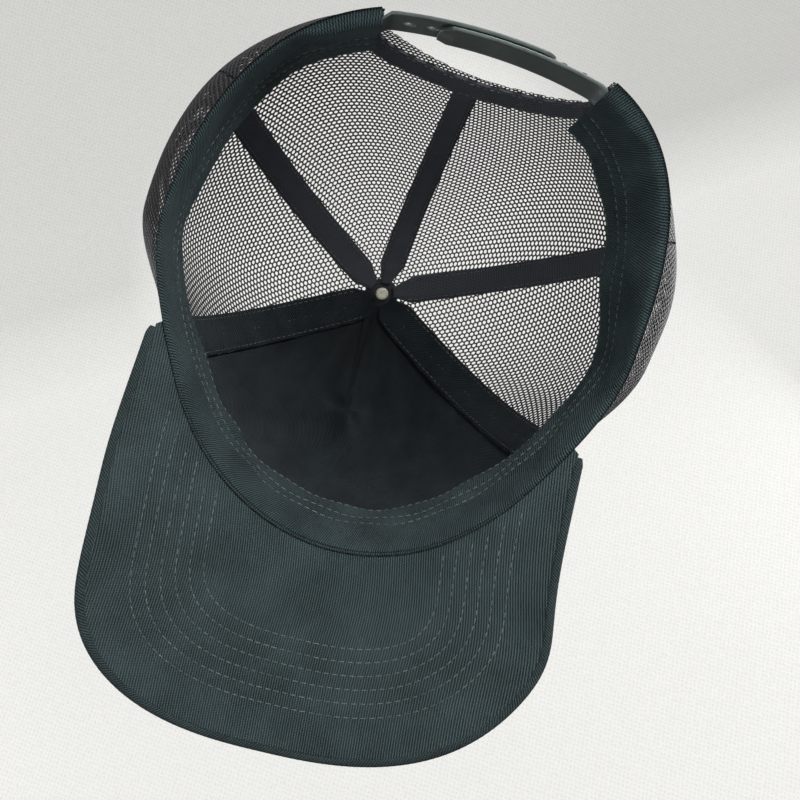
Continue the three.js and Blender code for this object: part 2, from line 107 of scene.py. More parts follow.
STRAP_HEIGHT = 20 * MM
STRAP_BOTTOM = 2 * MM
STRAP_THICKNESS = 1.5 * MM
STRAP_ROOT = 41 * MM
STRAP_END_MARGIN = 5.5 * MM
STRAP_FACE_GAP = 0.4 * MM
STRAP_CORNER = 4 * MM
CLOSURE_RADIUS = 200 * MM
CLOSURE_MIDDLE_Y = 94.6 * MM
PEG_PITCH = 8.2 * MM
PEG_RADIUS = 1.65 * MM
PEG_LENGTH = 3.2 * MM
HOLE_RADIUS = 2.15 * MM
SNAPPED_PAIRS = 5
SPARE_SNAPS = 2

BUTTON_RADIUS = 7.2 * MM
BUTTON_DOME = 4.2 * MM
RIVET_RADIUS = 2.75 * MM

CLOTH = 0.8 * MM
SEAM_GAP = 0.2 * MM
TAPE_DEPTH = 1.9 * MM
TAPE_THICKNESS = 1.0 * MM
TAPE_WIDTH = 11 * MM
FRONT_BAND_WIDTH = 9.5 * MM

# ---- Camera --------------------------------------------------------------------------

CAMERA_PLACE = Vector((0.0301, -0.0394, -0.430))
CAMERA_AIM = Vector((-0.0109, -0.0380, 0.0))
CAMERA_ROLL = 17.2 * DEGREE
CAMERA_LENS = 55.3


def add_object(name, data):
    made = bpy.data.objects.new(name, data)
    bpy.context.scene.collection.objects.link(made)
    return made


def camera_axes():
    """The camera's right, up and back directions: +Y up, then rolled about its axis."""
    back = (CAMERA_PLACE - CAMERA_AIM).normalized()
    up = Vector((0, 1, 0))
    up = (up - up.dot(back) * back).normalized()
    up.rotate(Quaternion(back, CAMERA_ROLL))
    return up.cross(back), up, back


def add_camera():
    data = bpy.data.cameras.new("camera")
    data.lens = CAMERA_LENS
    camera = add_object("camera", data)
    turn = Matrix(camera_axes()).transposed().to_4x4()
    camera.matrix_world = Matrix.Translation(CAMERA_PLACE) @ turn
    bpy.context.scene.camera = camera


add_camera()

# ---- Surfaces ------------------------------------------------------------------------


def smooth(start, end, value):
    share = np.clip((value - start) / (end - start), 0, 1)
    return share * share * (3 - 2 * share)


def lerp(start, end, share):
    return start + (end - start) * share


def hump(value, middle, width):
    """A bell of height 1, so wide that it has fallen to a third at width from middle."""
    return np.exp(-(((value - middle) / width) ** 2))


def unit(vectors):
    return vectors / np.maximum(np.linalg.norm(vectors, axis=-1, keepdims=True), 1e-12)


def stacked(*coordinates):
    return np.stack(np.broadcast_arrays(*coordinates), axis=-1)


def distances(points):
    """How far along a line each of its points lies."""
    return np.concatenate([[0], np.cumsum(np.linalg.norm(np.diff(points, axis=0), axis=1))])


def around(count):
    return np.linspace(0, 2 * math.pi, count, endpoint=False)


def square_reach(sine, cosine, squareness):
    """A rounded square of the given squareness, seen from its centre: 2 is an ellipse."""
    return (np.abs(sine) ** squareness + np.abs(cosine) ** squareness) ** (-1 / squareness)


def rim_point(azimuth):
    sine, cosine = np.sin(azimuth), np.cos(azimuth)
    front = cosine > 0
    reach = np.where(front, square_reach(sine, cosine, 2),
                     square_reach(sine, cosine, REAR_SQUARENESS))
    widening = smooth(55 * DEGREE, 92 * DEGREE, np.abs(azimuth))
    half_width = lerp(FRONT_HALF_WIDTH, RIM_HALF_WIDTH, widening)
    half_length = np.where(front, FRONT_HALF_LENGTH, REAR_HALF_LENGTH)
    return stacked(half_width * sine * reach, -half_length * cosine * reach)


def rim_normal(azimuth):
    step = 1e-3
    along = unit(rim_point(azimuth + step) - rim_point(azimuth - step))
    return stacked(along[..., 1], -along[..., 0])


CORNER = rim_point(np.array(BRIM_CORNER))


def brim_underside(x, y):
    drop = BRIM_SIDE_DROP * (x**2 - CORNER[0] ** 2) / BRIM_DROP_WIDTH**2
    return BRIM_PITCH * (y - CORNER[1]) - drop


def rim_height(azimuth):
    rim = rim_point(azimuth)
    height = np.maximum(0, brim_underside(rim[..., 0], rim[..., 1]))
    return np.where(np.abs(azimuth) > BRIM_CORNER, 0, height)


def panel_fullness(azimuth):
    turn = np.abs(azimuth) / DEGREE
    front = FRONT_FULLNESS * (1 - smooth(35, 64, turn))
    return front + SIDE_FULLNESS * smooth(62, 92, turn) * (1 - smooth(100, 165, turn))


def band_fullness(azimuth):
    return FRONT_FULLNESS * (1 - BAND_SIDE_LESS * smooth(35, 80, np.abs(azimuth) / DEGREE))


def profile_squareness(azimuth):
    more = PROFILE_FRONT_MORE * np.cos(azimuth) + PROFILE_SIDE_MORE * np.sin(azimuth) ** 2
    return PROFILE_SQUARENESS + more


def crown_surface(azimuth, elevation, fullness=panel_fullness):
    """The crown's outer face. Elevation is 0 on the rim and 90 degrees at the top."""
    sine, cosine = np.sin(elevation), np.cos(elevation)
    reach = square_reach(sine, cosine, profile_squareness(azimuth))
    rise = sine * reach
    swell = 1 + fullness(azimuth) * np.sin(2 * math.pi * rise / (1 + rise))
    spread = cosine * reach * swell
    rim = rim_point(azimuth)
    base = rim_height(azimuth)
    y = lerp(TOP_SET_BACK, rim[..., 1], spread)
    return stacked(rim[..., 0] * spread, y, base + (CROWN_HEIGHT - base) * rise)


def crown_point(azimuth, elevation, depth):
    """A point that lies depth below the crown's outer face."""
    step = 1e-3
    azimuth, elevation = np.broadcast_arrays(azimuth, elevation)
    here = crown_surface(azimuth, elevation)
    along = crown_surface(azimuth + step, elevation) - here
    up = crown_surface(azimuth, elevation + step) - here
    return here - unit(np.cross(along, up)) * np.asarray(depth)[..., None]


def elevation_at(azimuth, height):
    base = rim_height(azimuth)
    rise = np.clip((height - base) / (CROWN_HEIGHT - base), 0, 0.9999)
    squareness = profile_squareness(azimuth)
    return np.arctan2(rise, (1 - rise**squareness) ** (1 / squareness))


def crown_radius(azimuth, elevation):
    point = crown_surface(azimuth, elevation)
    return np.hypot(point[..., 0], point[..., 1] - TOP_SET_BACK)


def rear_azimuth(x, share):
    """The azimuth behind the wearer at which a ring of that share of the rim reaches x."""
    side = np.minimum(np.abs(x) / (RIM_HALF_WIDTH * share), 0.999)
    back = (1 - side**REAR_SQUARENESS) ** (1 / REAR_SQUARENESS)
    return np.sign(x) * (math.pi - np.arctan2(side, back))


def rear_place(x, height):
    """(azimuth, elevation) of the point of the crown's back at x and that height."""
    x = np.where(np.abs(x) < 1e-6, 1e-6, x)
    azimuth = rear_azimuth(x, 1.0)
    elevation = elevation_at(azimuth, height)
    for _ in range(12):
        share = crown_surface(azimuth, elevation)[..., 0] / rim_point(azimuth)[..., 0]
        azimuth = rear_azimuth(x, share)
        elevation = elevation_at(azimuth, height)
    return azimuth, elevation


def rear_point(x, height, depth):
    azimuth, elevation = rear_place(x, height)
    return crown_point(azimuth, elevation, depth)


def skewed(points):
    """The soft cap sits a little askew: its back and the brim's widest part are pushed
    towards the wearer's right, and the brim's front edge is turned."""
    points = np.array(points, float)
    x, y = points[..., 0].copy(), points[..., 1].copy()
    back = np.maximum(y, 0)
    shift = FRONT_SHIFT * hump(y, FRONT_SHIFT_MIDDLE, FRONT_SHIFT_SPREAD)
    turn = FRONT_TURN * smooth(*FRONT_TURN_ZONE, -y) + REAR_TURN * smooth(*REAR_TURN_ZONE, y)
    points[..., 0] = x - REAR_SKEW * back**2 / (back + REAR_SKEW_EASE) - shift
    points[..., 1] = y - turn * x
    return points


# ---- Meshes --------------------------------------------------------------------------


def signed_volume(points, faces):
    first = points[faces[:, 0]]
    total = 0.0
    for k in range(1, faces.shape[1] - 1):
        total += np.sum(first * np.cross(points[faces[:, k]], points[faces[:, k + 1]]))
    return total / 6


def add_mesh(name, points, face_sets, uv=None):
    """A mesh object from points and arrays of faces, turned so that its faces point out."""
    points = skewed(points)
    if sum(signed_volume(points, faces) for faces in face_sets) < 0:
        face_sets = [faces[:, ::-1] for faces in face_sets]
    mesh = bpy.data.meshes.new(name)
    corners = np.concatenate([faces.ravel() for faces in face_sets])
    sizes = np.concatenate([np.full(len(faces), faces.shape[1]) for faces in face_sets])
    mesh.vertices.add(len(points))
    mesh.vertices.foreach_set("co", points.astype(np.float32).ravel())
    mesh.loops.add(len(corners))
    mesh.loops.foreach_set("vertex_index", corners.astype(np.int32))
    mesh.polygons.add(len(sizes))
    starts = np.concatenate([[0], np.cumsum(sizes)[:-1]])
    mesh.polygons.foreach_set("loop_start", starts.astype(np.int32))
    mesh.polygons.foreach_set("use_smooth", np.ones(len(sizes), bool))
    if uv is not None:
        layer = mesh.uv_layers.new(name="cloth")
        layer.data.foreach_set("uv", np.asarray(uv, np.float32)[corners].ravel())
    mesh.update(calc_edges=True)
    mesh.validate()
    return add_object(name, mesh)


def grid_faces(index):
    return stacked(index[:-1, :-1], index[:-1, 1:], index[1:, 1:], index[1:, :-1]).reshape(-1, 4)


def ring_faces(index):
    """The faces round a form made of rings of points, and those of its two ends."""
    wrapped = np.concatenate([index, index[:, :1]], axis=1)
    return [grid_faces(wrapped), np.array([index[0], index[-1][::-1]])]


def shell(name, u_count, v_count, place, size=(1, 1), uv=None):
    """A closed sheet. place(u, v, w) gives its points, for u and v from 0 to 1 along it and
    w 0 or 1 through it. size is its width and length, for the weave."""
    u, v = np.meshgrid(np.linspace(0, 1, u_count + 1), np.linspace(0, 1, v_count + 1))
    layers = [place(u, v, np.full_like(u, w)).reshape(-1, 3) for w in (0.0, 1.0)]
    index = np.arange(u.size).reshape(u.shape)
    faces = grid_faces(index)
    ring = np.concatenate([index[0, :-1], index[:-1, -1], index[-1, :0:-1], index[:0:-1, 0]])
    after = np.roll(ring, -1)
    walls = stacked(after, ring, ring + u.size, after + u.size)
    weave = stacked(u * size[0], v * size[1]) if uv is None else uv(u, v)
    weave = weave.reshape(-1, 2)
    every = [np.concatenate([faces, faces[:, ::-1] + u.size, walls])]
    return add_mesh(name, np.concatenate(layers), every, np.concatenate([weave, weave]))


def tube(name, centres, radii):
    """A closed tube through centres, with a ring of the given radii at each."""
    along = unit(np.gradient(centres, axis=0))
    side = unit(np.cross(along, (0, 0, 1.0)))
    other = np.cross(side, along)
    turn = around(radii.shape[1])
    offset = (np.cos(turn)[None, :, None] * side[:, None]
              + np.sin(turn)[None, :, None] * other[:, None])
    points = centres[:, None] + offset * radii[..., None]
    index = np.arange(radii.size).reshape(radii.shape)
    uv = stacked(distances(centres)[:, None], turn[None] * BRIM_THICKNESS / 2).reshape(-1, 2)
    return add_mesh(name, points.reshape(-1, 3), ring_faces(index), uv)


# ---- Stitches ------------------------------------------------------------------------

THREAD_RADIUS = 0.2 * MM
STITCH_PITCH = 3.0 * MM
STITCH_SHARE = 0.8


def stitches_along(points, normals, pitch=STITCH_PITCH, share=STITCH_SHARE):
    """(start, end, normal) of each stitch of a row along the given points."""
    distance = distances(points)
    starts = np.arange(0.3 * pitch, distance[-1] - pitch, pitch)

    def at(values, where):
        return stacked(*[np.interp(where, distance, values[:, k]) for k in range(3)])

    middle = starts + 0.5 * share * pitch
    return at(points, starts), at(points, starts + share * pitch), unit(at(normals, middle))


def threads(name, rows, radius=THREAD_RADIUS, lift=0.14 * MM, sink=0.16 * MM):
    """All the stitches of some rows, as short threads that dip into the cloth at their ends."""
    starts, ends, normals = [np.concatenate([row[k] for row in rows]) for k in range(3)]
    sides, rings = 6, 5
    along = unit(ends - starts)
    side = unit(np.cross(along, normals))
    share = np.linspace(0, 1, rings)
    height = (lift + sink) * np.sin(math.pi * share) - sink
    thickness = radius * np.array([0.55, 0.95, 1.0, 0.95, 0.55])
    turn = around(sides)
    centre = starts[:, None] + (ends - starts)[:, None] * share[None, :, None]
    centre = centre + normals[:, None] * height[None, :, None]
    offset = (side[:, None] * np.cos(turn)[None, :, None]
              + normals[:, None] * np.sin(turn)[None, :, None])
    points = centre[:, :, None] + offset[:, None] * thickness[None, :, None, None]
    faces, caps = ring_faces(np.arange(rings * sides).reshape(rings, sides))
    first = np.arange(len(starts))[:, None, None] * rings * sides
    every = [(faces[None] + first).reshape(-1, 4), (caps[None] + first).reshape(-1, sides)]
    return add_mesh(name, points.reshape(-1, 3), every)


# ---- Materials -----------------------------------------------------------------------


class Recipe:
    """A material's node tree, built a node at a time."""

    def __init__(self, name):
        self.material = bpy.data.materials.new(name)
        self.material.use_nodes = True
        self.nodes = self.material.node_tree.nodes
        self.links = self.material.node_tree.links
        self.shader = self.nodes["Principled BSDF"]

    def put(self, node, socket, value):
        target = node.inputs[socket]
        if isinstance(value, bpy.types.NodeSocket):
            self.links.new(value, target)
        else:
            target.default_value = value

    def node(self, kind, output=0, settings=(), **sockets):
        made = self.nodes.new(kind)
        for name, value in dict(settings).items():
            setattr(made, name, value)
        for name, value in sockets.items():
            self.put(made, name.replace("_", " "), value)
        return made.outputs[output]

    def set(self, **sockets):
        for name, value in sockets.items():
            self.put(self.shader, name.replace("_", " "), value)

    def math(self, operation, first, second=0.0, third=None):
        made = self.nodes.new("ShaderNodeMath")
        made.operation = operation
        self.put(made, 0, first)
        self.put(made, 1, second)
        if third is not None:
            self.put(made, 2, third)
        return made.outputs[0]

    def mix(self, share, first, second):
        made = self.nodes.new("ShaderNodeMix")
        made.data_type = "RGBA"
        self.put(made, 0, share)
        self.put(made, 6, first)
        self.put(made, 7, second)
        return made.outputs[2]

    def place(self, kind="UV", turn=0.0, scale=1000.0):
        """Coordinates in millimetres, turned by an angle."""
        made = self.nodes.new("ShaderNodeTexCoord")
        moved = self.nodes.new("ShaderNodeMapping")
        moved.inputs["Rotation"].default_value = (0, 0, turn)
        moved.inputs["Scale"].default_value = (scale, scale, scale)
        self.links.new(made.outputs[kind], moved.inputs["Vector"])
        return moved.outputs[0]

    def wave(self, vector, period, distortion=0.0, axis="X"):
        """Ridges of the given period, in millimetres."""
        settings = {"wave_type": "BANDS", "bands_direction": axis}
        made = self.node("ShaderNodeTexWave", 1, settings, Vector=vector, Scale=math.pi / 10 / period)
        made.node.inputs["Distortion"].default_value = distortion
        made.node.inputs["Detail Scale"].default_value = 2.0
        return made

    def noise(self, vector, size, detail=2.0, rough=0.5):
        """Noise of the given size, in millimetres."""
        return self.node("ShaderNodeTexNoise", Vector=vector, Scale=1 / size, Detail=detail,
                         Roughness=rough)

    def ramp(self, value, low, high, first=0.0, last=1.0):
        made = self.node("ShaderNodeMapRange", 0, Value=value)
        names = ("From Min", "From Max", "To Min", "To Max")
        for name, number in zip(names, (low, high, first, last)):
            made.node.inputs[name].default_value = number
        return made

    def bump(self, height, strength, distance):
        made = self.node("ShaderNodeBump", 0, Height=height, Strength=strength, Distance=distance)
        self.set(Normal=made)


TWILL_PITCH = 0.85


def twill(name, dark, light, turn, mottle=0.6, sheen=0.04):
    """Cotton twill: fine ridges of yarn at an angle, with a little lint and uneven dye. Its colour also
    follows the weave's height: a painted shade in the valleys and lighter ridges.
    """
    recipe = Recipe(name)
    cloth = recipe.place("UV", turn)
    ridges = recipe.wave(cloth, TWILL_PITCH, 0.8)
    yarns = recipe.wave(cloth, 0.62 * TWILL_PITCH, 0.6, "Y")
    fuzz = recipe.noise(cloth, 0.5, 3.0, 0.7)
    patches = recipe.noise(cloth, 22.0, 3.0, 0.6)
    weave = recipe.math("MULTIPLY_ADD", yarns, 0.35, ridges)
    height = recipe.math("MULTIPLY_ADD", fuzz, 0.5, weave)
    # The colour follows the dye patches, which are uneven dye, and the weave's height, which is painted
    # shade in the valleys.
    tone = recipe.math("MULTIPLY_ADD", patches, mottle, recipe.math("MULTIPLY", height, 0.6))
    share = recipe.ramp(tone, 0.15 + 0.5 * mottle, 1.0 + 0.5 * mottle)
    recipe.set(Base_Color=recipe.mix(share, dark, light))
    recipe.set(Roughness=recipe.ramp(fuzz, 0.2, 0.8, 0.78, 0.95))
    recipe.bump(height, 1.0, 0.4 * MM)
    recipe.shader.inputs["Sheen Weight"].default_value = sheen
    recipe.shader.inputs["Sheen Roughness"].default_value = 0.45
    recipe.shader.inputs["Specular IOR Level"].default_value = 0.14
    return recipe.material


def woven_tape(name, dark, light):
    """Tape: a plain weave of fine ribs."""
    recipe = Recipe(name)
    cloth = recipe.place("UV")
    ribs = recipe.wave(cloth, 0.75, 0.2, "Y")
    ends = recipe.wave(cloth, 0.6, 0.2, "X")
    fuzz = recipe.noise(cloth, 0.6, 3.0, 0.7)
    height = recipe.math("MULTIPLY_ADD", fuzz, 0.6, recipe.math("MULTIPLY", ribs, ends))
    recipe.set(Base_Color=recipe.mix(recipe.ramp(height, 0.1, 1.1), dark, light))
    recipe.set(Roughness=recipe.ramp(fuzz, 0.2, 0.8, 0.7, 0.9))
    recipe.bump(height, 0.7, 0.2 * MM)
    recipe.shader.inputs["Specular IOR Level"].default_value = 0.3
    return recipe.material


def net_yarn(name, dark, light):
    """Polyester yarn, with the fine fibres running round the holes."""
    recipe = Recipe(name)
    place = recipe.place("Object")
    fibres = recipe.noise(place, 0.25, 3.0, 0.6)
    patches = recipe.noise(place, 14.0, 2.0)
    tone = recipe.math("MULTIPLY_ADD", patches, 0.5, fibres)
    recipe.set(Base_Color=recipe.mix(recipe.ramp(tone, 0.45, 1.05), dark, light))
    recipe.set(Roughness=recipe.ramp(fibres, 0.3, 0.7, 0.42, 0.62))
    recipe.bump(fibres, 0.6, 0.12 * MM)
    return recipe.material


def sewing_thread(name, dark, light):
    """Twisted thread."""
    recipe = Recipe(name)
    place = recipe.place("Object")
    twist = recipe.wave(place, 0.35, 0.4, "DIAGONAL")
    patches = recipe.noise(place, 9.0, 2.0)
    recipe.set(Base_Color=recipe.mix(recipe.ramp(patches, 0.35, 0.65), dark, light))
    recipe.set(Roughness=recipe.ramp(twist, 0.0, 1.0, 0.5, 0.75))
    recipe.bump(twist, 0.5, 0.06 * MM)
    return recipe.material


def hard_face(name, dark, light, rough, grain, marks, strength, metallic=0.0):
    """Plastic, enamel or metal, with a faint grain and handling marks of the given sizes.
    rough is its least and most roughness, strength that of the grain."""
    recipe = Recipe(name)
    place = recipe.place("Object")
    marks = recipe.noise(place, marks, 4.0, 0.7)
    recipe.set(Base_Color=recipe.mix(recipe.ramp(marks, 0.35, 0.7), dark, light))
    recipe.set(Roughness=recipe.ramp(marks, 0.3, 0.7, *rough))
    recipe.bump(recipe.noise(place, grain, 2.0), strength, 0.05 * MM)
    recipe.shader.inputs["Metallic"].default_value = metallic
    return recipe.material


PLASTIC_GRAIN = (0.35, 6.0, 0.25)
ENAMEL_PEEL = (0.8, 2.2, 0.2)
BRIM_TWILL = twill("brim_twill", (0.005, 0.010, 0.011, 1), (0.066, 0.098, 0.103, 1), 6 * DEGREE)
FRONT_TWILL = twill("front_twill", (0.002, 0.003, 0.006, 1), (0.026, 0.036, 0.038, 1),
                    35 * DEGREE, 0.9, 0.02)
BAND_TWILL = twill("sweatband_twill", (0.006, 0.011, 0.013, 1), (0.052, 0.080, 0.085, 1),
                   -28 * DEGREE, 0.8, 0.02)
EDGE_TWILL = twill("edge_twill", (0.009, 0.015, 0.016, 1), (0.052, 0.076, 0.080, 1), 38 * DEGREE)
TAPE = woven_tape("seam_tape", (0.006, 0.007, 0.009, 1), (0.075, 0.082, 0.098, 1))
NETTING = net_yarn("netting", (0.010, 0.010, 0.011, 1), (0.034, 0.034, 0.036, 1))
THREAD = sewing_thread("thread", (0.050, 0.065, 0.068, 1), (0.110, 0.128, 0.128, 1))
DARK_THREAD = sewing_thread("dark_thread", (0.030, 0.034, 0.038, 1), (0.085, 0.092, 0.098, 1))
PLASTIC = hard_face("strap_plastic", (0.040, 0.055, 0.050, 1), (0.062, 0.080, 0.074, 1),
                    (0.28, 0.48), *PLASTIC_GRAIN)
BOARD = hard_face("brim_board", (0.60, 0.58, 0.53, 1), (0.68, 0.66, 0.61, 1),
                  (0.52, 0.72), *PLASTIC_GRAIN)
RIVET = hard_face("rivet_enamel", (0.48, 0.46, 0.36, 1), (0.60, 0.58, 0.47, 1),
                  (0.25, 0.42), *ENAMEL_PEEL)
METAL = hard_face("button_metal", (0.50, 0.50, 0.51, 1), (0.62, 0.62, 0.63, 1),
                  (0.25, 0.42), *ENAMEL_PEEL, 1.0)


def finish_piece(piece, material, nodes=(), body="cap"):
    """The piece's material, the body that it rides on and what it replaces."""
    piece.data.materials.clear()
    piece.data.materials.append(material)
    if body:
        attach(piece, body)
    if nodes:
        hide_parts(*nodes)
    return piece


# ---- Front panel ---------------------------------------------------------------------

DART_LENGTH = 58 * MM
DART_PUCKER = 15 * MM


def top_distance(elevation):
    """How far a point of the front is from the top of the crown, along its face."""
    table = np.linspace(0, 90, 181) * DEGREE
    line = crown_surface(np.zeros_like(table), table)
    distance = distances(line)
    return distance[-1] - np.interp(elevation, table, distance)


def front_relief(azimuth, elevation):
    """How far the front panel's cloth dips inwards: the dart, its puckers and soft creases."""
    across = azimuth * crown_radius(azimuth, elevation)
    down = top_distance(elevation)
    sewn = 1 - smooth(DART_LENGTH - 8 * MM, DART_LENGTH, down)
    sewn = sewn * smooth(4 * MM, 12 * MM, down)
    width = lerp(7 * MM, 1 * MM, np.clip(down / DART_LENGTH, 0, 1))
    ridge = 2.2 * MM * hump(across, 0, 1.3 * MM)
    flap = 1.1 * MM * smooth(-0.2 * MM, 0.3 * MM, across)
    flap = flap * (1 - smooth(width - 0.5 * MM, width, across))
    away = np.hypot(across, down - DART_LENGTH)
    angle = np.arctan2(across, down - DART_LENGTH)
    fan = np.cos(4.5 * angle + 0.6) * smooth(1 * MM, 7 * MM, away)
    pucker = 1.5 * MM * fan * hump(away, 0, DART_PUCKER)
    dimple = 4.0 * MM * hump(np.hypot(across + 2 * MM, down - DART_LENGTH - 4 * MM), 0, 8 * MM)
    low = 2.2 * MM * hump(across, 24 * MM, 22 * MM) * hump(down, 74 * MM, 20 * MM)
    low = low + 1.8 * MM * hump(across, -34 * MM, 17 * MM) * hump(down, 60 * MM, 22 * MM)
    crease_line = down - 30 * MM - 0.35 * across
    crease = 0.9 * MM * hump(crease_line, 0, 3.5 * MM) * hump(across, 42 * MM, 16 * MM)
    return sewn * (ridge + flap) + pucker + dimple - low + crease


def front_panel():
    def place(u, v, w):
        elevation = v * CROWN_TOP
        gap = SEAM_GAP / crown_radius(np.zeros_like(v), elevation)
        azimuth = lerp(-FRONT_SEAM + gap, FRONT_SEAM - gap, u)
        fade = smooth(0, 0.12, v) * smooth(0, 0.06, u) * smooth(0, 0.06, 1 - u)
        depth = 0.3 * MM + w * CLOTH + front_relief(azimuth, elevation) * fade
        return crown_point(azimuth, elevation, depth)

    piece = shell("front_panel_cloth", 230, 130, place, (0.200, 0.145))
    return finish_piece(piece, FRONT_TWILL, ["front_panel"])


# ---- Netting -------------------------------------------------------------------------

NET_PITCH = 2.0 * MM
NET_HOLE = 0.75 * MM
NET_THICKNESS = 0.34 * MM
NET_TOP_RADIUS = 4 * MM
# Where the netting swells out or falls in: (height in mm, azimuth and half width in degrees).
NET_BILLOWS = ((4.2, 132, 27), (-3.2, 82, 15), (1.2, 152, 12), (4.0, -103, 13), (-3.4, -136, 20))


def net_relief(azimuth, elevation):
    """How far the netting billows outwards."""
    rise = np.sin(elevation)
    low = hump(rise, 0.38, 0.3)
    turn = (azimuth + math.pi) % (2 * math.pi) - math.pi
    billow = sum(height * MM * hump(turn, middle * DEGREE, width * DEGREE)
                 for height, middle, width in NET_BILLOWS)
    folds = np.sin(turn * 26) * hump(turn, -82 * DEGREE, 12 * DEGREE) * hump(rise, 0.6, 0.22)
    waves = np.sin(turn * 9 + 1.0) * np.sin(elevation * 7) * smooth(0.1, 0.3, rise)
    relief = billow * low + 0.9 * MM * folds + 0.4 * MM * waves * (1 - smooth(0.85, 0.97, rise))
    from_front = (np.abs(turn) - FRONT_SEAM) * crown_radius(azimuth, elevation)
    return relief * smooth(0, 8 * MM, from_front) * smooth(0, 6 * DEGREE, elevation)


def outside_arch(x, height):
    """The point moved out of the arch if it lies inside, and whether it did."""
    top = ARCH_HEIGHT - ARCH_SIDE_HEIGHT
    tall = height > ARCH_SIDE_HEIGHT
    reach = np.hypot(x / ARCH_HALF_WIDTH, (height - ARCH_SIDE_HEIGHT) / top)
    within = np.where(tall, reach < 1, np.abs(x) < ARCH_HALF_WIDTH)
    grow = 1 / np.maximum(reach, 1e-3)
    new_x = np.where(tall, x * grow, np.sign(x) * ARCH_HALF_WIDTH)
    new_height = np.where(tall, ARCH_SIDE_HEIGHT + (height - ARCH_SIDE_HEIGHT) * grow, height)
    return np.where(within, new_x, x), np.where(within, new_height, height), within


def netting(name, node, start, end):
    """A panel of netting, with every hole cut through it."""
    middle = 0.5 * (start + end)
    table = np.linspace(0, CROWN_TOP, 200)
    line = crown_surface(np.full_like(table, middle), table)
    distance = distances(line)
    radius_table = crown_radius(np.full_like(table, middle), table)
    reach = 1.15 * radius_table.max() * (end - start) / 2
    columns = int(reach / NET_PITCH) + 1
    row_step = NET_PITCH * math.sqrt(3) / 2
    rows = int(distance[-1] / row_step) + 1
    column, row = np.meshgrid(np.arange(-columns, columns + 1), np.arange(0, rows))
    across = ((column + 0.5 * (row % 2)) * NET_PITCH).ravel()
    along = ((row + 0.5) * row_step).ravel()

    def place_of(p, q):
        elevation = np.interp(q, distance, table)
        radius = np.interp(q, distance, radius_table)
        turn = middle + p / radius
        gap = SEAM_GAP / radius
        return np.clip(turn, start + gap, end - gap), elevation, turn

    azimuth, elevation, turn = place_of(across, along)
    radius = np.interp(along, distance, radius_table)
    keep = (turn > start) & (turn < end) & (radius > NET_TOP_RADIUS)
    centre = crown_surface(azimuth, elevation)
    arched = (centre[:, 1] > 0) & outside_arch(centre[:, 0], centre[:, 2])[2]
    keep &= ~arched
    across, along = across[keep], along[keep]

    corner_angle = (np.arange(6) * 60 + 30) * DEGREE
    hole_angle = (np.arange(12) * 30 + 30) * DEGREE
    corner = NET_PITCH / math.sqrt(3)
    outer, inner = (stacked(across[:, None] + reach * np.cos(angle),
                            along[:, None] + reach * np.sin(angle))
                    for reach, angle in ((corner, corner_angle), (NET_HOLE, hole_angle)))
    snapped = np.round(outer.reshape(-1, 2) / (0.02 * MM)).astype(np.int64)
    _, first, same = np.unique(snapped, axis=0, return_index=True, return_inverse=True)
    flat = np.concatenate([outer.reshape(-1, 2)[first], inner.reshape(-1, 2)])
    outer_index = same.reshape(-1, 6)
    inner_index = np.arange(len(across) * 12).reshape(-1, 12) + len(first)

    flat[:, 1] = np.maximum(flat[:, 1], 0)
    azimuth, elevation, _ = place_of(flat[:, 0], flat[:, 1])
    point = crown_surface(azimuth, elevation)
    moved_x, moved_z, within = outside_arch(point[:, 0], point[:, 2])
    within &= point[:, 1] > 0
    if within.any():
        azimuth[within], elevation[within] = rear_place(moved_x[within], moved_z[within])
    relief = net_relief(azimuth, elevation)
    layers = [crown_point(azimuth, elevation, depth - relief)
              for depth in (0.1 * MM, 0.1 * MM + NET_THICKNESS)]

    count = len(flat)
    outer_next, inner_next = np.roll(outer_index, -1, axis=1), np.roll(inner_index, -1, axis=1)
    near, between, far = inner_index[:, ::2], inner_index[:, 1::2], inner_next[:, 1::2]
    top = np.concatenate([stacked(outer_index, outer_next, between), stacked(outer_index, between, near),
                          stacked(outer_next, far, between)]).reshape(-1, 3)
    walls = stacked(inner_index, inner_next, inner_next + count, inner_index + count).reshape(-1, 4)
    edges = stacked(outer_index, outer_next).reshape(-1, 2)
    _, back, uses = np.unique(np.sort(edges, axis=1), axis=0, return_inverse=True,
                              return_counts=True)
    border = edges[uses[back.ravel()] == 1]
    rim = stacked(border[:, 1], border[:, 0], border[:, 0] + count, border[:, 1] + count)
    every = [np.concatenate([top, top[:, ::-1] + count]), np.concatenate([walls, rim])]
    piece = add_mesh(name, np.concatenate(layers), every)
    return finish_piece(piece, NETTING, [node]), len(across)


# ---- Tapes ---------------------------------------------------------------------------


def rounded(share, power=8):
    """1 across most of a strip, falling to 0 at its two edges."""
    return (1 - np.abs(2 * share - 1) ** power) ** 0.5


# The most that a strip spans to each side of its seam, where the crown narrows at the top.
TAPE_SPAN = 22 * DEGREE
BAND_SPAN = 55 * DEGREE


def tape_place(seam, right, left, bottom):
    """A function of (u across, v up) that gives (azimuth, elevation) on a tape along a seam."""

    def place(u, v):
        elevation = lerp(elevation_at(np.array(seam), bottom), CROWN_TOP, v)
        radius = crown_radius(np.full_like(elevation, seam), elevation)
        spans = [np.minimum(reach / radius, TAPE_SPAN if reach < 8 * MM else BAND_SPAN)
                 for reach in (right, left)]
        return seam + lerp(-spans[0], spans[1], u), elevation

    return place


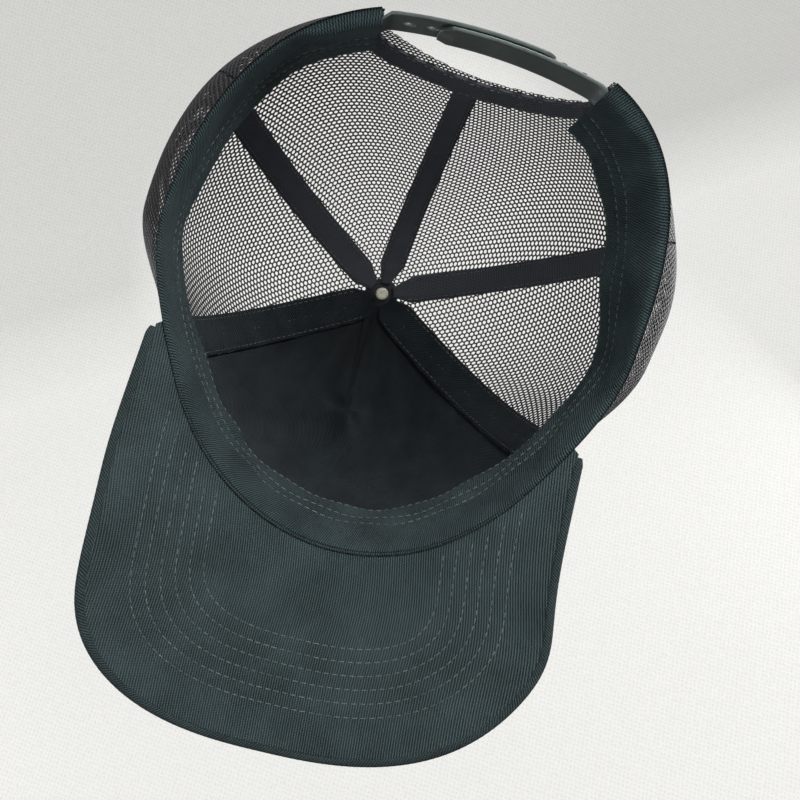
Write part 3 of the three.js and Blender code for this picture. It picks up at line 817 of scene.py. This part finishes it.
def seam_tape(name, node, seam, right, left, bottom, material, stitch_shares, fold=0.0):
    """A strip of cloth inside the crown along a seam, with its rows of stitches."""
    place_on = tape_place(seam, right, left, bottom)

    def place(u, v, w):
        azimuth, elevation = place_on(u, v)
        body = TAPE_THICKNESS * rounded(u) * w
        ripple = 0.12 * MM * np.sin(v * 95 + 3 * u) + 0.1 * MM * np.sin(v * 41)
        folded = fold * hump(u, 0.5, 0.4)
        groove = sum(hump(u, share, 0.05) for share in stitch_shares) * 0.22 * MM
        depth = TAPE_DEPTH - net_relief(azimuth, elevation)
        return crown_point(azimuth, elevation, depth + body + (ripple + folded - groove) * w)

    piece = shell(name, 20, 150, place, (left + right, 0.150))
    finish_piece(piece, material, [node])
    rows = []
    for share in stitch_shares:
        v = np.linspace(0.02, 0.955, 200)
        azimuth, elevation = place_on(np.full_like(v, share), v)
        depth = TAPE_DEPTH + TAPE_THICKNESS - net_relief(azimuth, elevation)
        inner = crown_point(azimuth, elevation, depth - 0.15 * MM)
        deeper = crown_point(azimuth, elevation, depth + 1 * MM)
        rows.append(stitches_along(inner, deeper - inner, 2.6 * MM, 0.72))
    finish_piece(threads(name + "_stitches", rows, 0.19 * MM), DARK_THREAD)
    return piece


# ---- Sweatband -----------------------------------------------------------------------

BAND_END = float(rear_azimuth(np.array(ARCH_HALF_WIDTH + 1 * MM), 1.0))
BAND_ROWS = (17 * MM, 22.5 * MM, 30.6 * MM)
BAND_TOP_INSET = 5.2 * MM
BAND_REAR_LEAN = 6.6 * MM
# Where the band's top lies further in: (by how much in mm, azimuth and half width in degrees).
BAND_LEANS = ((0.6, 40, 22), (1.4, -128, 15), (1.3, -74, 7), (-1.2, -89, 6))


def band_inset(azimuth, height):
    """How far the band's outer face lies inside the crown: nothing at the rim, most at its
    top. It starts further in where the straps' sewn ends lie behind it."""
    turn = azimuth / DEGREE
    up = np.clip(height / SWEATBAND_HEIGHT, 0, 1)
    right = smooth(-92, -110, turn) * (1 - 0.25 * smooth(-132, -148, turn))
    left = smooth(68, 95, turn)
    lean = BAND_TOP_INSET + BAND_REAR_LEAN * right - 1.6 * MM * left
    lean = lean + sum(height * MM * hump(turn, middle, width) for height, middle, width in BAND_LEANS)
    straps = smooth(132, 142, np.abs(turn)) * SWEATBAND_INSET * smooth(0, 1.5 * MM, height)
    return np.maximum(lean * up**0.6, straps + (lean - straps) * up) - 0.1 * MM


def band_point(azimuth, height, depth):
    """A point of the band, depth inwards from its outer face."""
    base = rim_height(azimuth)
    elevation = elevation_at(azimuth, base + np.maximum(height, 0))
    point = crown_surface(azimuth, elevation, band_fullness)
    normal = rim_normal(azimuth)
    inset = band_inset(azimuth, height) + depth
    x = point[..., 0] - inset * normal[..., 0]
    y = point[..., 1] - inset * normal[..., 1]
    return stacked(x, y, point[..., 2] + np.minimum(height, 0))


def band_relief(azimuth, height):
    """The band's soft waves, its stitch grooves and its lapped end, inwards from its face."""
    up = height / SWEATBAND_HEIGHT
    waves = 0.6 * MM * np.sin(azimuth * 7 + 0.6) * smooth(0.3, 1.0, up)
    waves = waves + 0.3 * MM * np.sin(azimuth * 17 + height * 300) * smooth(0.1, 0.4, up)
    grooves = sum(hump(height, row, 0.8 * MM) for row in BAND_ROWS) * -0.45 * MM
    lap = azimuth - 30 * DEGREE - (height - 24 * MM) * 14
    lapped = 0.8 * MM * smooth(-0.006, 0.006, lap) * (1 - smooth(0.05, 0.22, lap))
    lapped = lapped * smooth(14 * MM, 18 * MM, height)
    return waves + grooves + lapped


def sweatband():
    below = 0.7 * MM

    def place(u, v, w):
        azimuth = lerp(-BAND_END, BAND_END, u)
        height = lerp(-below, SWEATBAND_HEIGHT, v)
        body = SWEATBAND_THICKNESS * rounded(v, 24)
        relief = band_relief(azimuth, height) * smooth(0, 0.06, v)
        return band_point(azimuth, height, w * body + relief * (0.3 + 0.7 * w))

    piece = shell("sweatband_cloth", 420, 48, place, (0.480, SWEATBAND_HEIGHT))
    finish_piece(piece, BAND_TWILL, ["sweatband"])
    rows = []
    for height in BAND_ROWS:
        azimuth = np.linspace(-BAND_END + 0.02, BAND_END - 0.02, 900)
        level = np.full_like(azimuth, height)
        body = SWEATBAND_THICKNESS * rounded((height + below) / (SWEATBAND_HEIGHT + below), 24)
        depth = body + band_relief(azimuth, level)
        points = band_point(azimuth, level, depth)
        inward = band_point(azimuth, level, depth + 1 * MM)
        rows.append(stitches_along(points, inward - points, 3.1 * MM, 0.8))
    finish_piece(threads("sweatband_stitches", rows, 0.22 * MM), THREAD)
    return piece


# ---- Rear arch -----------------------------------------------------------------------


def arch_line(count, reach):
    """Points (x, height) and outward directions along the arch, reach outside its edge."""
    top = ARCH_HEIGHT - ARCH_SIDE_HEIGHT
    side_count = count // 5
    turn = np.linspace(0, math.pi, count - 2 * side_count)
    side = np.linspace(1 * MM, ARCH_SIDE_HEIGHT, side_count, endpoint=False)
    x = np.concatenate([np.full(side_count, ARCH_HALF_WIDTH), ARCH_HALF_WIDTH * np.cos(turn),
                        np.full(side_count, -ARCH_HALF_WIDTH)])
    z = np.concatenate([side, ARCH_SIDE_HEIGHT + top * np.sin(turn), side[::-1]])
    normal_x = np.concatenate([np.ones(side_count), np.cos(turn) / ARCH_HALF_WIDTH,
                               -np.ones(side_count)])
    normal_z = np.concatenate([np.zeros(side_count), np.sin(turn) / top, np.zeros(side_count)])
    length = np.hypot(normal_x, normal_z)
    return x + reach * normal_x / length, z + reach * normal_z / length


def binding_point(x, height, share, depth):
    """A point of the binding, which tilts inwards over the top of the arch."""
    tilt = ARCH_BINDING_TILT * share * smooth(ARCH_SIDE_HEIGHT, ARCH_HEIGHT, height)
    return rear_point(x, height, TAPE_DEPTH - 0.2 * MM + tilt + depth)


def arch_binding():
    """Tape folded over the cut edge of the netting round the arch, with two rows of stitches."""
    count = 240

    def place(u, v, w):
        rows = []
        for k, share in enumerate(v[:, 0]):
            x, height = arch_line(count, 0.2 * MM + ARCH_BINDING_WIDTH * share)
            swell = TAPE_THICKNESS * rounded(share) * w[k]
            ripple = 0.15 * MM * np.sin(u[k] * 150) * w[k]
            rows.append(binding_point(x, height, share, swell + ripple))
        return np.array(rows)

    piece = shell("arch_binding_tape", count - 1, 18, place, (0.200, ARCH_BINDING_WIDTH))
    finish_piece(piece, TAPE, ["arch_binding"])
    rows = []
    for share in (0.15, 0.85):
        x, height = arch_line(400, 0.2 * MM + ARCH_BINDING_WIDTH * share)
        points = binding_point(x, height, share, TAPE_THICKNESS - 0.15 * MM)
        inner = binding_point(x, height, share, TAPE_THICKNESS + 1 * MM)
        rows.append(stitches_along(points, inner - points, 2.8 * MM, 0.75))
    finish_piece(threads("arch_binding_stitches", rows, 0.19 * MM), DARK_THREAD)


# ---- Brim ----------------------------------------------------------------------------

BRIM_ROWS = tuple((12.3 + 4.5 * k) * MM for k in range(6))
BRIM_PUFF = 0.28 * MM
EDGE_RIDGE_PITCH = 2.2 * MM
EDGE_RIDGE_SHARE = 0.012


def brim_edge(side):
    """The brim's outer edge from the wearer's right corner, side 0, to the left, side 1."""
    reach = np.abs(2 * side - 1)
    hand = np.where(side < 0.5, -1.0, 1.0)
    back = np.clip((reach - 1 + BRIM_SIDE_SHARE) / BRIM_SIDE_SHARE, 0, None)
    turn = np.clip(reach / (1 - BRIM_SIDE_SHARE), 0, 1) * (math.pi / 2)
    bow = square_reach(np.sin(turn), np.cos(turn), BRIM_SQUARENESS)
    length = BRIM_WIDEST_Y - BRIM_FRONT_Y
    round_y = BRIM_WIDEST_Y - length * np.cos(turn) * bow
    side_y = lerp(BRIM_WIDEST_Y, CORNER[1] - BRIM_CORNER_SET_BACK, back)
    on_side = reach > 1 - BRIM_SIDE_SHARE
    x = np.where(on_side, BRIM_HALF_WIDTH, BRIM_HALF_WIDTH * np.sin(turn) * bow)
    return stacked(hand * x, np.where(on_side, side_y, round_y))


def brim_edge_normal(side):
    step = 1e-3
    along = unit(brim_edge(side + step) - brim_edge(side - step))
    return stacked(along[..., 1], -along[..., 0])


def brim_place(u, v):
    """The plan of the brim's cloths: from just inside the rim to a turning at the edge."""
    azimuth = (2 * u - 1) * BRIM_CORNER
    root = rim_point(azimuth) - rim_normal(azimuth) * 0.2 * MM
    side = np.clip(u, 0.002, 0.998)
    return lerp(root, brim_edge(u) + brim_edge_normal(side) * 0.8 * MM, v[..., None])


EDGE_SAMPLES = brim_edge(np.linspace(0.0, 1.0, 1600))


def edge_distance(x, y):
    """How far inside the brim's outer edge a point of the brim lies."""
    flat = stacked(x, y).reshape(-1, 2)
    nearest = np.empty(len(flat))
    for start in range(0, len(flat), 4000):
        part = flat[start:start + 4000]
        gaps = np.linalg.norm(part[:, None] - EDGE_SAMPLES[None], axis=2)
        nearest[start:start + 4000] = gaps.min(axis=1)
    return nearest.reshape(np.shape(x))


def brim_puff(distance):
    """How far the cloth stands up between the rows of stitches, from 0 to 1."""
    pitch = BRIM_ROWS[1] - BRIM_ROWS[0]
    phase = (distance - BRIM_ROWS[0]) / pitch
    return np.abs(np.sin(math.pi * np.clip(phase, 0, len(BRIM_ROWS) - 1)))


def brim_cloth(name, node, lift, side_up):
    """One of the brim's two cloths, quilted between its rows of stitches."""

    def place(u, v, w):
        plan = brim_place(u, v)
        x, y = plan[..., 0], plan[..., 1]
        puff = BRIM_PUFF * brim_puff(edge_distance(x, y))
        outside = w if side_up else 1 - w
        outward = 1.0 if side_up else -1.0
        height = brim_underside(x, y) + lift + BRIM_CLOTH * w + outward * puff * outside
        return stacked(x, y, height)

    return finish_piece(shell(name, 220, 90, place, uv=brim_place), BRIM_TWILL, [node])


def stitch_path(distance):
    """The (x, y) line at that distance inside the brim's outer edge, up to the crown."""
    side = np.linspace(0.0, 1.0, 1500)
    line = brim_edge(side) - brim_edge_normal(np.clip(side, 0.002, 0.998)) * distance
    rim = rim_point(np.arctan2(line[:, 0], -line[:, 1]))
    outside = np.hypot(line[:, 0], line[:, 1]) > np.hypot(rim[:, 0], rim[:, 1]) + 1.5 * MM
    gaps = np.linalg.norm(line[:, None] - EDGE_SAMPLES[None, ::4], axis=2)
    return line[outside & (gaps.min(axis=1) > distance - 0.1 * MM)]


def brim_stitching(name, lift, side_up):
    rows = []
    for distance in BRIM_ROWS:
        plan = stitch_path(distance)
        height = brim_underside(plan[:, 0], plan[:, 1]) + lift
        points = stacked(plan[:, 0], plan[:, 1], height)
        slope = stacked(2 * BRIM_SIDE_DROP * plan[:, 0] / BRIM_DROP_WIDTH**2,
                        np.full(len(plan), -BRIM_PITCH), np.ones(len(plan)))
        normals = unit(slope) * (1 if side_up else -1)
        rows.append(stitches_along(points, normals))
    finish_piece(threads(name, rows), THREAD)


def brim_edge_roll():
    """The cloth turned round the brim's edge, with the slanting ridges of its bias."""
    radius = BRIM_THICKNESS / 2
    side = np.linspace(0.004, 0.996, 900)
    plan = brim_edge(side) + brim_edge_normal(side) * (radius + 0.1 * MM)
    height = brim_underside(plan[:, 0], plan[:, 1]) + radius
    centres = stacked(plan[:, 0], plan[:, 1], height)
    distance = distances(centres)
    ridges = np.sin(distance[:, None] / EDGE_RIDGE_PITCH * 2 * math.pi + around(16)[None])
    radii = radius * (1 + EDGE_RIDGE_SHARE * ridges)
    from_end = np.minimum(distance, distance[-1] - distance)
    radii = radii * (0.5 + 0.5 * smooth(-1 * MM, 3 * MM, from_end))[:, None]
    piece = tube("brim_edge_roll", centres, radii)
    finish_piece(piece, EDGE_TWILL, ["brim_edge_binding"])


# ---- Snap closure --------------------------------------------------------------------

SNAP_HEIGHT = STRAP_BOTTOM + STRAP_HEIGHT / 2
TAB_END = 53 * MM
SEWN_DEPTH = 3.2 * MM + STRAP_THICKNESS / 2


def closure_point(along, out, height):
    """along is round the closure from the middle to the wearer's left, out from the plane
    between the two straps."""
    angle = along / CLOSURE_RADIUS
    reach = CLOSURE_RADIUS + out
    centre_y = CLOSURE_MIDDLE_Y - CLOSURE_RADIUS
    return stacked(reach * np.sin(angle), centre_y + reach * np.cos(angle), height)


def strap_point(along, out, height):
    """On the closure up to the hinge, then on the band between the netting and sweatband."""
    hand = np.sign(along)
    reach = np.abs(along)
    free = closure_point(along, out, height)
    sewn_x = hand * np.maximum(reach, 20 * MM)
    middle, outer = (rear_point(sewn_x, height, np.full_like(along, depth))
                     for depth in (SEWN_DEPTH, SEWN_DEPTH - 1 * MM))
    from_middle = out - np.sign(out) * (STRAP_FACE_GAP + STRAP_THICKNESS) / 2
    sewn = middle + unit(outer - middle) * from_middle[..., None]
    share = smooth(STRAP_ROOT - 2 * MM, STRAP_ROOT + 3.5 * MM, reach)[..., None]
    return lerp(free, sewn, share)


def snap_places(hand):
    outermost = PEG_PITCH * (SNAPPED_PAIRS - 1) / 2
    return [hand * (k * PEG_PITCH - outermost) for k in range(SNAPPED_PAIRS + SPARE_SNAPS)]


def strap_outline(hand, square):
    """The strap's edge as (along, height), its free end rounded or with cut-off corners."""
    tip = -hand * (PEG_PITCH * (SNAPPED_PAIRS - 1) / 2 + STRAP_END_MARGIN)
    low, high = STRAP_BOTTOM, STRAP_BOTTOM + STRAP_HEIGHT
    root = hand * TAB_END
    if square:
        cut = STRAP_CORNER
        end = [(tip + hand * cut, low), (tip, low + cut), (tip, high - cut), (tip + hand * cut, high)]
    else:
        bow = 8 * MM
        turn = np.linspace(-math.pi / 2, math.pi / 2, 17)
        reach = square_reach(np.cos(turn), np.sin(turn), 2.6)
        middle = (low + high) / 2
        end = [(tip + hand * (bow - bow * c), middle + (high - low) / 2 * s)
               for c, s in zip(np.cos(turn) * reach, np.sin(turn) * reach)]
    return [(root, low), *end, (root, high)]


def add_loop(curve, points):
    spline = curve.splines.new("POLY")
    spline.points.add(len(points) - 1)
    for target, (x, y) in zip(spline.points, points):
        target.co = (x, y, 0, 1)
    spline.use_cyclic_u = True


def flat_strap(name, outline, holes, bevel):
    """A flat plate with holes and softened edges, lying in X and Y, as a mesh."""
    curve = bpy.data.curves.new(name, "CURVE")
    curve.dimensions = "2D"
    curve.fill_mode = "BOTH"
    curve.extrude = STRAP_THICKNESS / 2 - bevel
    curve.bevel_depth = bevel
    curve.bevel_resolution = 2
    curve.offset = -bevel
    add_loop(curve, outline)
    for along in holes:
        add_loop(curve, [(along + HOLE_RADIUS * math.cos(t), SNAP_HEIGHT + HOLE_RADIUS * math.sin(t))
                         for t in around(28)])
    holder = add_object(name + "_flat", curve)
    bpy.context.view_layer.update()
    mesh = bpy.data.meshes.new_from_object(holder.evaluated_get(bpy.context.evaluated_depsgraph_get()))
    bpy.data.objects.remove(holder)
    return mesh


def snap_peg(base):
    """A peg's profile as (radius, height) pairs, with a foot and a rounded head."""
    return [(0, -0.3 * MM), (PEG_RADIUS + 0.7 * MM, -0.3 * MM),
            (PEG_RADIUS + 0.55 * MM, base + 0.1 * MM),
            (PEG_RADIUS - 0.15 * MM, base + 0.5 * MM), (PEG_RADIUS - 0.2 * MM, base + 1.7 * MM),
            (PEG_RADIUS + 0.05 * MM, base + 2.2 * MM), (PEG_RADIUS, base + 2.7 * MM),
            (PEG_RADIUS - 0.5 * MM, base + PEG_LENGTH - 0.1 * MM), (0, base + PEG_LENGTH)]


def add_peg(work, centre):
    """Adds a peg to a bmesh, its axis along +Z."""
    sides = 20
    rings = []
    for radius, height in snap_peg(STRAP_THICKNESS / 2):
        turn = [2 * math.pi * k / sides for k in range(sides)] if radius else [0.0]
        ring = [(centre + radius * math.cos(t), SNAP_HEIGHT + radius * math.sin(t)) for t in turn]
        rings.append([work.verts.new((x, y, height)) for x, y in ring])
    for low, high in zip(rings, rings[1:]):
        for k in range(sides):
            after = (k + 1) % sides
            if len(low) == 1:
                work.faces.new((low[0], high[after], high[k]))
            elif len(high) == 1:
                work.faces.new((low[k], low[after], high[0]))
            else:
                work.faces.new((low[k], low[after], high[after], high[k]))


def strap(name, hand, square, nodes):
    """One strap: a flat moulding, cut fine enough to bend, then bent round the closure."""
    bevel = 0.3 * MM
    holes = [] if square else snap_places(hand)
    mesh = flat_strap(name, strap_outline(hand, square), holes, bevel)
    work = bmesh.new()
    work.from_mesh(mesh)
    bmesh.ops.remove_doubles(work, verts=work.verts, dist=0.005 * MM)
    cuts = [((hand * along, 0, 0), (1, 0, 0)) for along in np.arange(-30 * MM, 54 * MM, 2 * MM)]
    cuts += [((0, height, 0), (0, 1, 0))
             for height in np.arange(STRAP_BOTTOM + 3 * MM, STRAP_BOTTOM + STRAP_HEIGHT, 3.5 * MM)]
    for place, normal in cuts:
        geometry = [*work.verts, *work.edges, *work.faces]
        bmesh.ops.bisect_plane(work, geom=geometry, plane_co=place, plane_no=normal)
    if square:
        for along in snap_places(hand):
            add_peg(work, along)
    bmesh.ops.triangulate(work, faces=[face for face in work.faces if len(face.verts) > 4])
    work.to_mesh(mesh)
    work.free()
    flat = np.empty(len(mesh.vertices) * 3, np.float32)
    mesh.vertices.foreach_get("co", flat)
    flat = flat.reshape(-1, 3).astype(float)
    middle = (STRAP_FACE_GAP + STRAP_THICKNESS) / 2 * (-1 if square else 1)
    bent = skewed(strap_point(flat[:, 0], middle + flat[:, 2], flat[:, 1]))
    mesh.vertices.foreach_set("co", bent.astype(np.float32).ravel())
    mesh.update()
    piece = add_object(name, mesh)
    for polygon in mesh.polygons:
        polygon.use_smooth = True
    mesh.set_sharp_from_angle(angle=40 * DEGREE)
    finish_piece(piece, PLASTIC, nodes, None)
    along = hand * (STRAP_ROOT + np.array([2 * MM, -2 * MM]))
    start, end = skewed(strap_point(along, np.full(2, middle), np.full(2, SNAP_HEIGHT)))
    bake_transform(piece)


# ---- Top button ----------------------------------------------------------------------


def turned(name, profile, sides, wrinkle=0.0):
    """A closed form turned about the upright line through the crown's top."""
    points = []
    turn = around(sides)
    for radius, height in profile:
        reach = radius * (1 + wrinkle * np.sin(turn * 12) * min(1, radius / (5 * MM)))
        points.append(stacked(reach * np.cos(turn), TOP_SET_BACK + reach * np.sin(turn), height))
    index = np.arange(len(points) * sides).reshape(len(points), sides)
    return add_mesh(name, np.concatenate(points), ring_faces(index))


def dome_profile(radius, height, thickness, lip):
    turn = np.linspace(0, math.pi / 2 - 0.02, 16)
    outer = [(radius * math.cos(t), lip + height * math.sin(t)) for t in turn]
    inner = [((radius - thickness) * math.cos(t), lip + (height - thickness) * math.sin(t))
             for t in turn]
    return outer, inner


def button():
    lip = CROWN_HEIGHT + 0.3 * MM
    outer, inner = dome_profile(BUTTON_RADIUS, BUTTON_DOME, 0.7 * MM, lip)
    turned_in = [(BUTTON_RADIUS - 0.7 * MM, lip), (BUTTON_RADIUS - 0.1 * MM, lip - 0.1 * MM)]
    cover = turned("button_cloth", [*inner[::-1], *turned_in, *outer], 96, 0.006)
    finish_piece(cover, FRONT_TWILL, ["button_cover"])
    outer, inner = dome_profile(BUTTON_RADIUS - 1 * MM, BUTTON_DOME - 1 * MM, 0.6 * MM, lip)
    cup = turned("button_cup", [*inner[::-1], *outer], 48)
    finish_piece(cup, METAL, ["button_shell"])
    under = CROWN_HEIGHT - 1.3 * MM
    flat = [(0.02 * MM, under - 0.5 * MM), (7 * MM, under - 0.7 * MM), (7 * MM, under - 0.2 * MM),
            (0.02 * MM, under)]
    patch = turned("tape_ends", flat, 48)
    finish_piece(patch, TAPE)
    top = CROWN_HEIGHT - 3.2 * MM
    bottom = top - 1.3 * MM
    post = 1.3 * MM
    face = ((0.02, 0.18), (0.5, 0.15), (0.95, 0.02), (1.5, -0.05), (2.0, 0.02), (2.4, 0.2), (2.65, 0.5))
    head = [(radius * MM, bottom + height * MM) for radius, height in face]
    head += [(RIVET_RADIUS, bottom + 0.85 * MM), (2.6 * MM, top - 0.1 * MM), (2.3 * MM, top), (post, top),
             (post, CROWN_HEIGHT + 2.3 * MM), (0.02 * MM, CROWN_HEIGHT + 2.3 * MM)]
    rivet = turned("rivet", head, 48)
    finish_piece(rivet, RIVET, ["button_rivet"])
    return cover, patch


# ---- Assembly ------------------------------------------------------------------------


def board():
    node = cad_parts["brim_board"]
    node.data.materials.clear()
    node.data.materials.append(BOARD)


def build_cap():
    front = front_panel()
    nets = [
        netting("netting_side_left", "mesh_side_left", FRONT_SEAM, LEFT_SIDE_SEAM),
        netting("netting_back_left", "mesh_back_left", LEFT_SIDE_SEAM, CENTRE_BACK_SEAM),
        netting("netting_back_right", "mesh_back_right", CENTRE_BACK_SEAM - 2 * math.pi,
                -RIGHT_SIDE_SEAM),
        netting("netting_side_right", "mesh_side_right", -RIGHT_SIDE_SEAM, -FRONT_SEAM),
    ]
    half = TAPE_WIDTH / 2
    bottom = 12 * MM
    turn = 5 * MM
    wide = FRONT_BAND_WIDTH
    edges = (0.12, 0.88)
    tapes = [
        seam_tape("front_band_left", "seam_band_front_left", FRONT_SEAM, wide, turn, bottom,
                  FRONT_TWILL, (0.10, 0.50, 0.90), 0.4 * MM),
        seam_tape("front_band_right", "seam_band_front_right", -FRONT_SEAM, turn, wide, bottom,
                  FRONT_TWILL, (0.10, 0.50, 0.90), 0.4 * MM),
        seam_tape("side_tape_left", "seam_tape_side_left", LEFT_SIDE_SEAM, half, half, bottom,
                  TAPE, edges),
        seam_tape("side_tape_right", "seam_tape_side_right", -RIGHT_SIDE_SEAM, half, half, bottom,
                  TAPE, edges),
        seam_tape("back_tape", "seam_tape_centre_back", CENTRE_BACK_SEAM, half, half,
                  ARCH_HEIGHT + ARCH_BINDING_WIDTH + 1.5 * MM, TAPE, edges),
    ]
    band = sweatband()
    arch_binding()
    under = brim_cloth("brim_under", "brim_under_cloth", 0.0, False)
    upper = brim_cloth("brim_upper", "brim_upper_cloth", BRIM_THICKNESS - BRIM_CLOTH, True)
    brim_stitching("brim_under_stitches", 0.0, False)
    brim_stitching("brim_upper_stitches", BRIM_THICKNESS, True)
    brim_edge_roll()
    board()
    strap("hole_strap_moulding", 1, False, ["hole_strap", "hole_strap_sewn_end"])
    strap("peg_strap_moulding", -1, True, ["peg_strap", "peg_strap_sewn_end"])
    return front, nets, tapes, band, (under, upper), button()


PAPER_COLOUR = (0.435, 0.432, 0.418, 1)
PAPER_GLOW = 1.5
PAPER_SHARE_LIT = 0.55
# The painted shade on the paper's wall, in mm before its scaling: where it starts along the slope,
# and the part of the paper behind the crown that is left unshaded and stays pale.
WALL_RISE = (5.0, 45.0)
WALL_PAINTED_SHADE = 0.27
BEHIND_CROWN = (-10, 14, 152)
CLEAR_OF_CROWN = (95.0, 128.0)


def world_and_lights():
    bpy.context.scene.view_settings.view_transform = "Standard"
    world = bpy.data.worlds.new("world")
    bpy.context.scene.world = world
    world.use_nodes = True
    sky = world.node_tree.nodes["Background"]
    sky.inputs["Color"].default_value = (0.97, 0.98, 1.0, 1)
    sky.inputs["Strength"].default_value = 0.28
    right, up, back = camera_axes()
    centre = Vector((0, -0.03, 0.03))
    add_light("key", centre + 0.75 * right + 0.95 * up + 0.85 * back, centre, 0.8, 30)
    add_light("fill", centre + -0.7 * right - 0.3 * up + 1.0 * back, centre, 1.0, 6)
    add_light("upper_key", Vector((0.6, -0.9, 1.3)), centre, 1.0, 26)
    add_light("upper_fill", Vector((-1.0, 0.5, 0.9)), centre, 1.2, 14)


def add_light(name, place, aim, size, power):
    data = bpy.data.lights.new(name, "AREA")
    data.shape = "DISK"
    data.size = size
    data.energy = power
    light = add_object(name, data)
    light.location = place
    light.rotation_mode = "QUATERNION"
    light.rotation_quaternion = (Vector(aim) - Vector(place)).to_track_quat("-Z", "Y")
    light.visible_camera = False


def paper(name, emboss, wall=None):
    """Pale embossed paper. Past the line where it rises to a wall, whose direction is given,
    it carries a painted shade, but not right behind the crown, where it is left pale."""
    recipe = Recipe(name)
    place = recipe.place("Object")
    threads_one = recipe.wave(place, 1.5, 3.5, "X")
    threads_two = recipe.wave(place, 1.5, 3.5, "Y")
    grain = recipe.noise(place, 0.9, 3.0, 0.7)
    lumps = recipe.noise(place, 3.0, 3.0, 0.6)
    weave = recipe.math("MAXIMUM", threads_one, threads_two)
    height = recipe.math("MULTIPLY_ADD", grain, 1.2, recipe.math("MULTIPLY_ADD", lumps, 0.8, weave))
    patches = recipe.noise(place, 60.0, 2.0)
    tone = recipe.math("MULTIPLY_ADD", patches, 0.4, height)
    shade = recipe.ramp(tone, 1.1, 2.3, 0.88, 1.0)
    if wall is not None:
        apart = recipe.nodes.new("ShaderNodeSeparateXYZ")
        recipe.links.new(place, apart.inputs[0])
        along_y = recipe.math("MULTIPLY", apart.outputs[1], wall[1])
        along = recipe.math("MULTIPLY_ADD", apart.outputs[0], wall[0], along_y)
        beyond = recipe.ramp(along, *WALL_RISE)
        from_crown = recipe.nodes.new("ShaderNodeVectorMath")
        from_crown.operation = "DISTANCE"
        recipe.links.new(place, from_crown.inputs[0])
        from_crown.inputs[1].default_value = BEHIND_CROWN
        clear = recipe.ramp(from_crown.outputs["Value"], *CLEAR_OF_CROWN)
        # Painted shade on the wall, dimming both its colour and its glow; none of it near the crown.
        painted_wall_shade = recipe.math("MULTIPLY", recipe.math("MULTIPLY", beyond, clear), WALL_PAINTED_SHADE)
        shade = recipe.math("MULTIPLY", shade, recipe.math("SUBTRACT", 1.0, painted_wall_shade))
    tinted = recipe.mix(shade, (0, 0, 0, 1), PAPER_COLOUR)
    lit = tuple(PAPER_SHARE_LIT * part for part in PAPER_COLOUR[:3]) + (1,)
    recipe.set(Base_Color=recipe.mix(shade, (0, 0, 0, 1), lit), Emission_Color=tinted)
    recipe.set(Roughness=recipe.ramp(grain, 0.2, 0.8, 0.75, 0.95))
    recipe.shader.inputs["Emission Strength"].default_value = PAPER_GLOW
    recipe.bump(height, emboss, 0.5 * MM)
    return recipe.material


def facing_way(points, faces, upward):
    """The faces, turned so that the first one looks up (1) or down (-1)."""
    a, b, c = (points[faces[0, k]] for k in range(3))
    return faces if np.cross(b - a, c - a)[2] * upward > 0 else faces[:, ::-1]


BACKDROP_SCALE = 3.5
FLOOR_HEIGHT = -2.2
ROOM_RADIUS = 14.0
BACKDROP_HEIGHT = 152 * MM
BACKDROP_TURN = 145 * DEGREE
BACKDROP_BEND = 20 * MM
BACKDROP_BEND_START = 19 * MM


def backdrop():
    """Paper well above the crown, so that it stands between no camera and the cap. It rises
    to a wall at one side."""
    ridge = np.array([math.cos(BACKDROP_TURN), math.sin(BACKDROP_TURN)])
    slope = np.array([ridge[1], -ridge[0]])
    u, v = np.meshgrid(np.linspace(-0.36, 0.36, 30), np.linspace(-0.28, 0.36, 120))
    fall = v - BACKDROP_BEND_START
    bent = BACKDROP_BEND * np.log(np.cosh(fall / BACKDROP_BEND))
    z = BACKDROP_HEIGHT + 0.15 * fall - 0.45 * bent
    points = stacked(u * ridge[0] + v * slope[0], u * ridge[1] + v * slope[1], z).reshape(-1, 3)
    faces = facing_way(points, grid_faces(np.arange(u.size).reshape(u.shape)), -1)
    piece = make_stage("backdrop", points, faces, paper("backdrop_paper", 0.6, slope))
    piece.scale = (BACKDROP_SCALE,) * 3
    piece.location = CAMERA_PLACE * (1 - BACKDROP_SCALE)


def make_stage(name, points, faces, material):
    mesh = bpy.data.meshes.new(name)
    mesh.from_pydata(points.tolist(), [], faces.tolist())
    for polygon in mesh.polygons:
        polygon.use_smooth = True
    mesh.materials.append(material)
    piece = add_object(name, mesh)
    piece.visible_shadow = False
    piece.visible_diffuse = False
    piece.visible_glossy = False
    return piece


def room():
    """A plain pale floor, far enough down to leave the cap's underside in view, and the pale
    round room that it lies in."""
    points = np.array([(ROOM_RADIUS * x, ROOM_RADIUS * y, FLOOR_HEIGHT)
                       for x, y in ((-1, -1), (1, -1), (1, 1), (-1, 1))])
    faces = facing_way(points, np.array([[0, 1, 2, 3]]), 1)
    make_stage("floor", points, faces, paper("floor_paper", 0.3))
    turn, rise = np.meshgrid(np.linspace(0, 2 * math.pi, 65),
                             np.linspace(-math.pi / 2, math.pi / 2, 33))
    level = np.cos(rise)
    points = ROOM_RADIUS * stacked(level * np.cos(turn), level * np.sin(turn), np.sin(rise))
    faces = grid_faces(np.arange(turn.size).reshape(turn.shape))
    make_stage("room", points.reshape(-1, 3), faces, paper("room_paper", 0.0))


pieces = build_cap()
backdrop()
room()
world_and_lights()
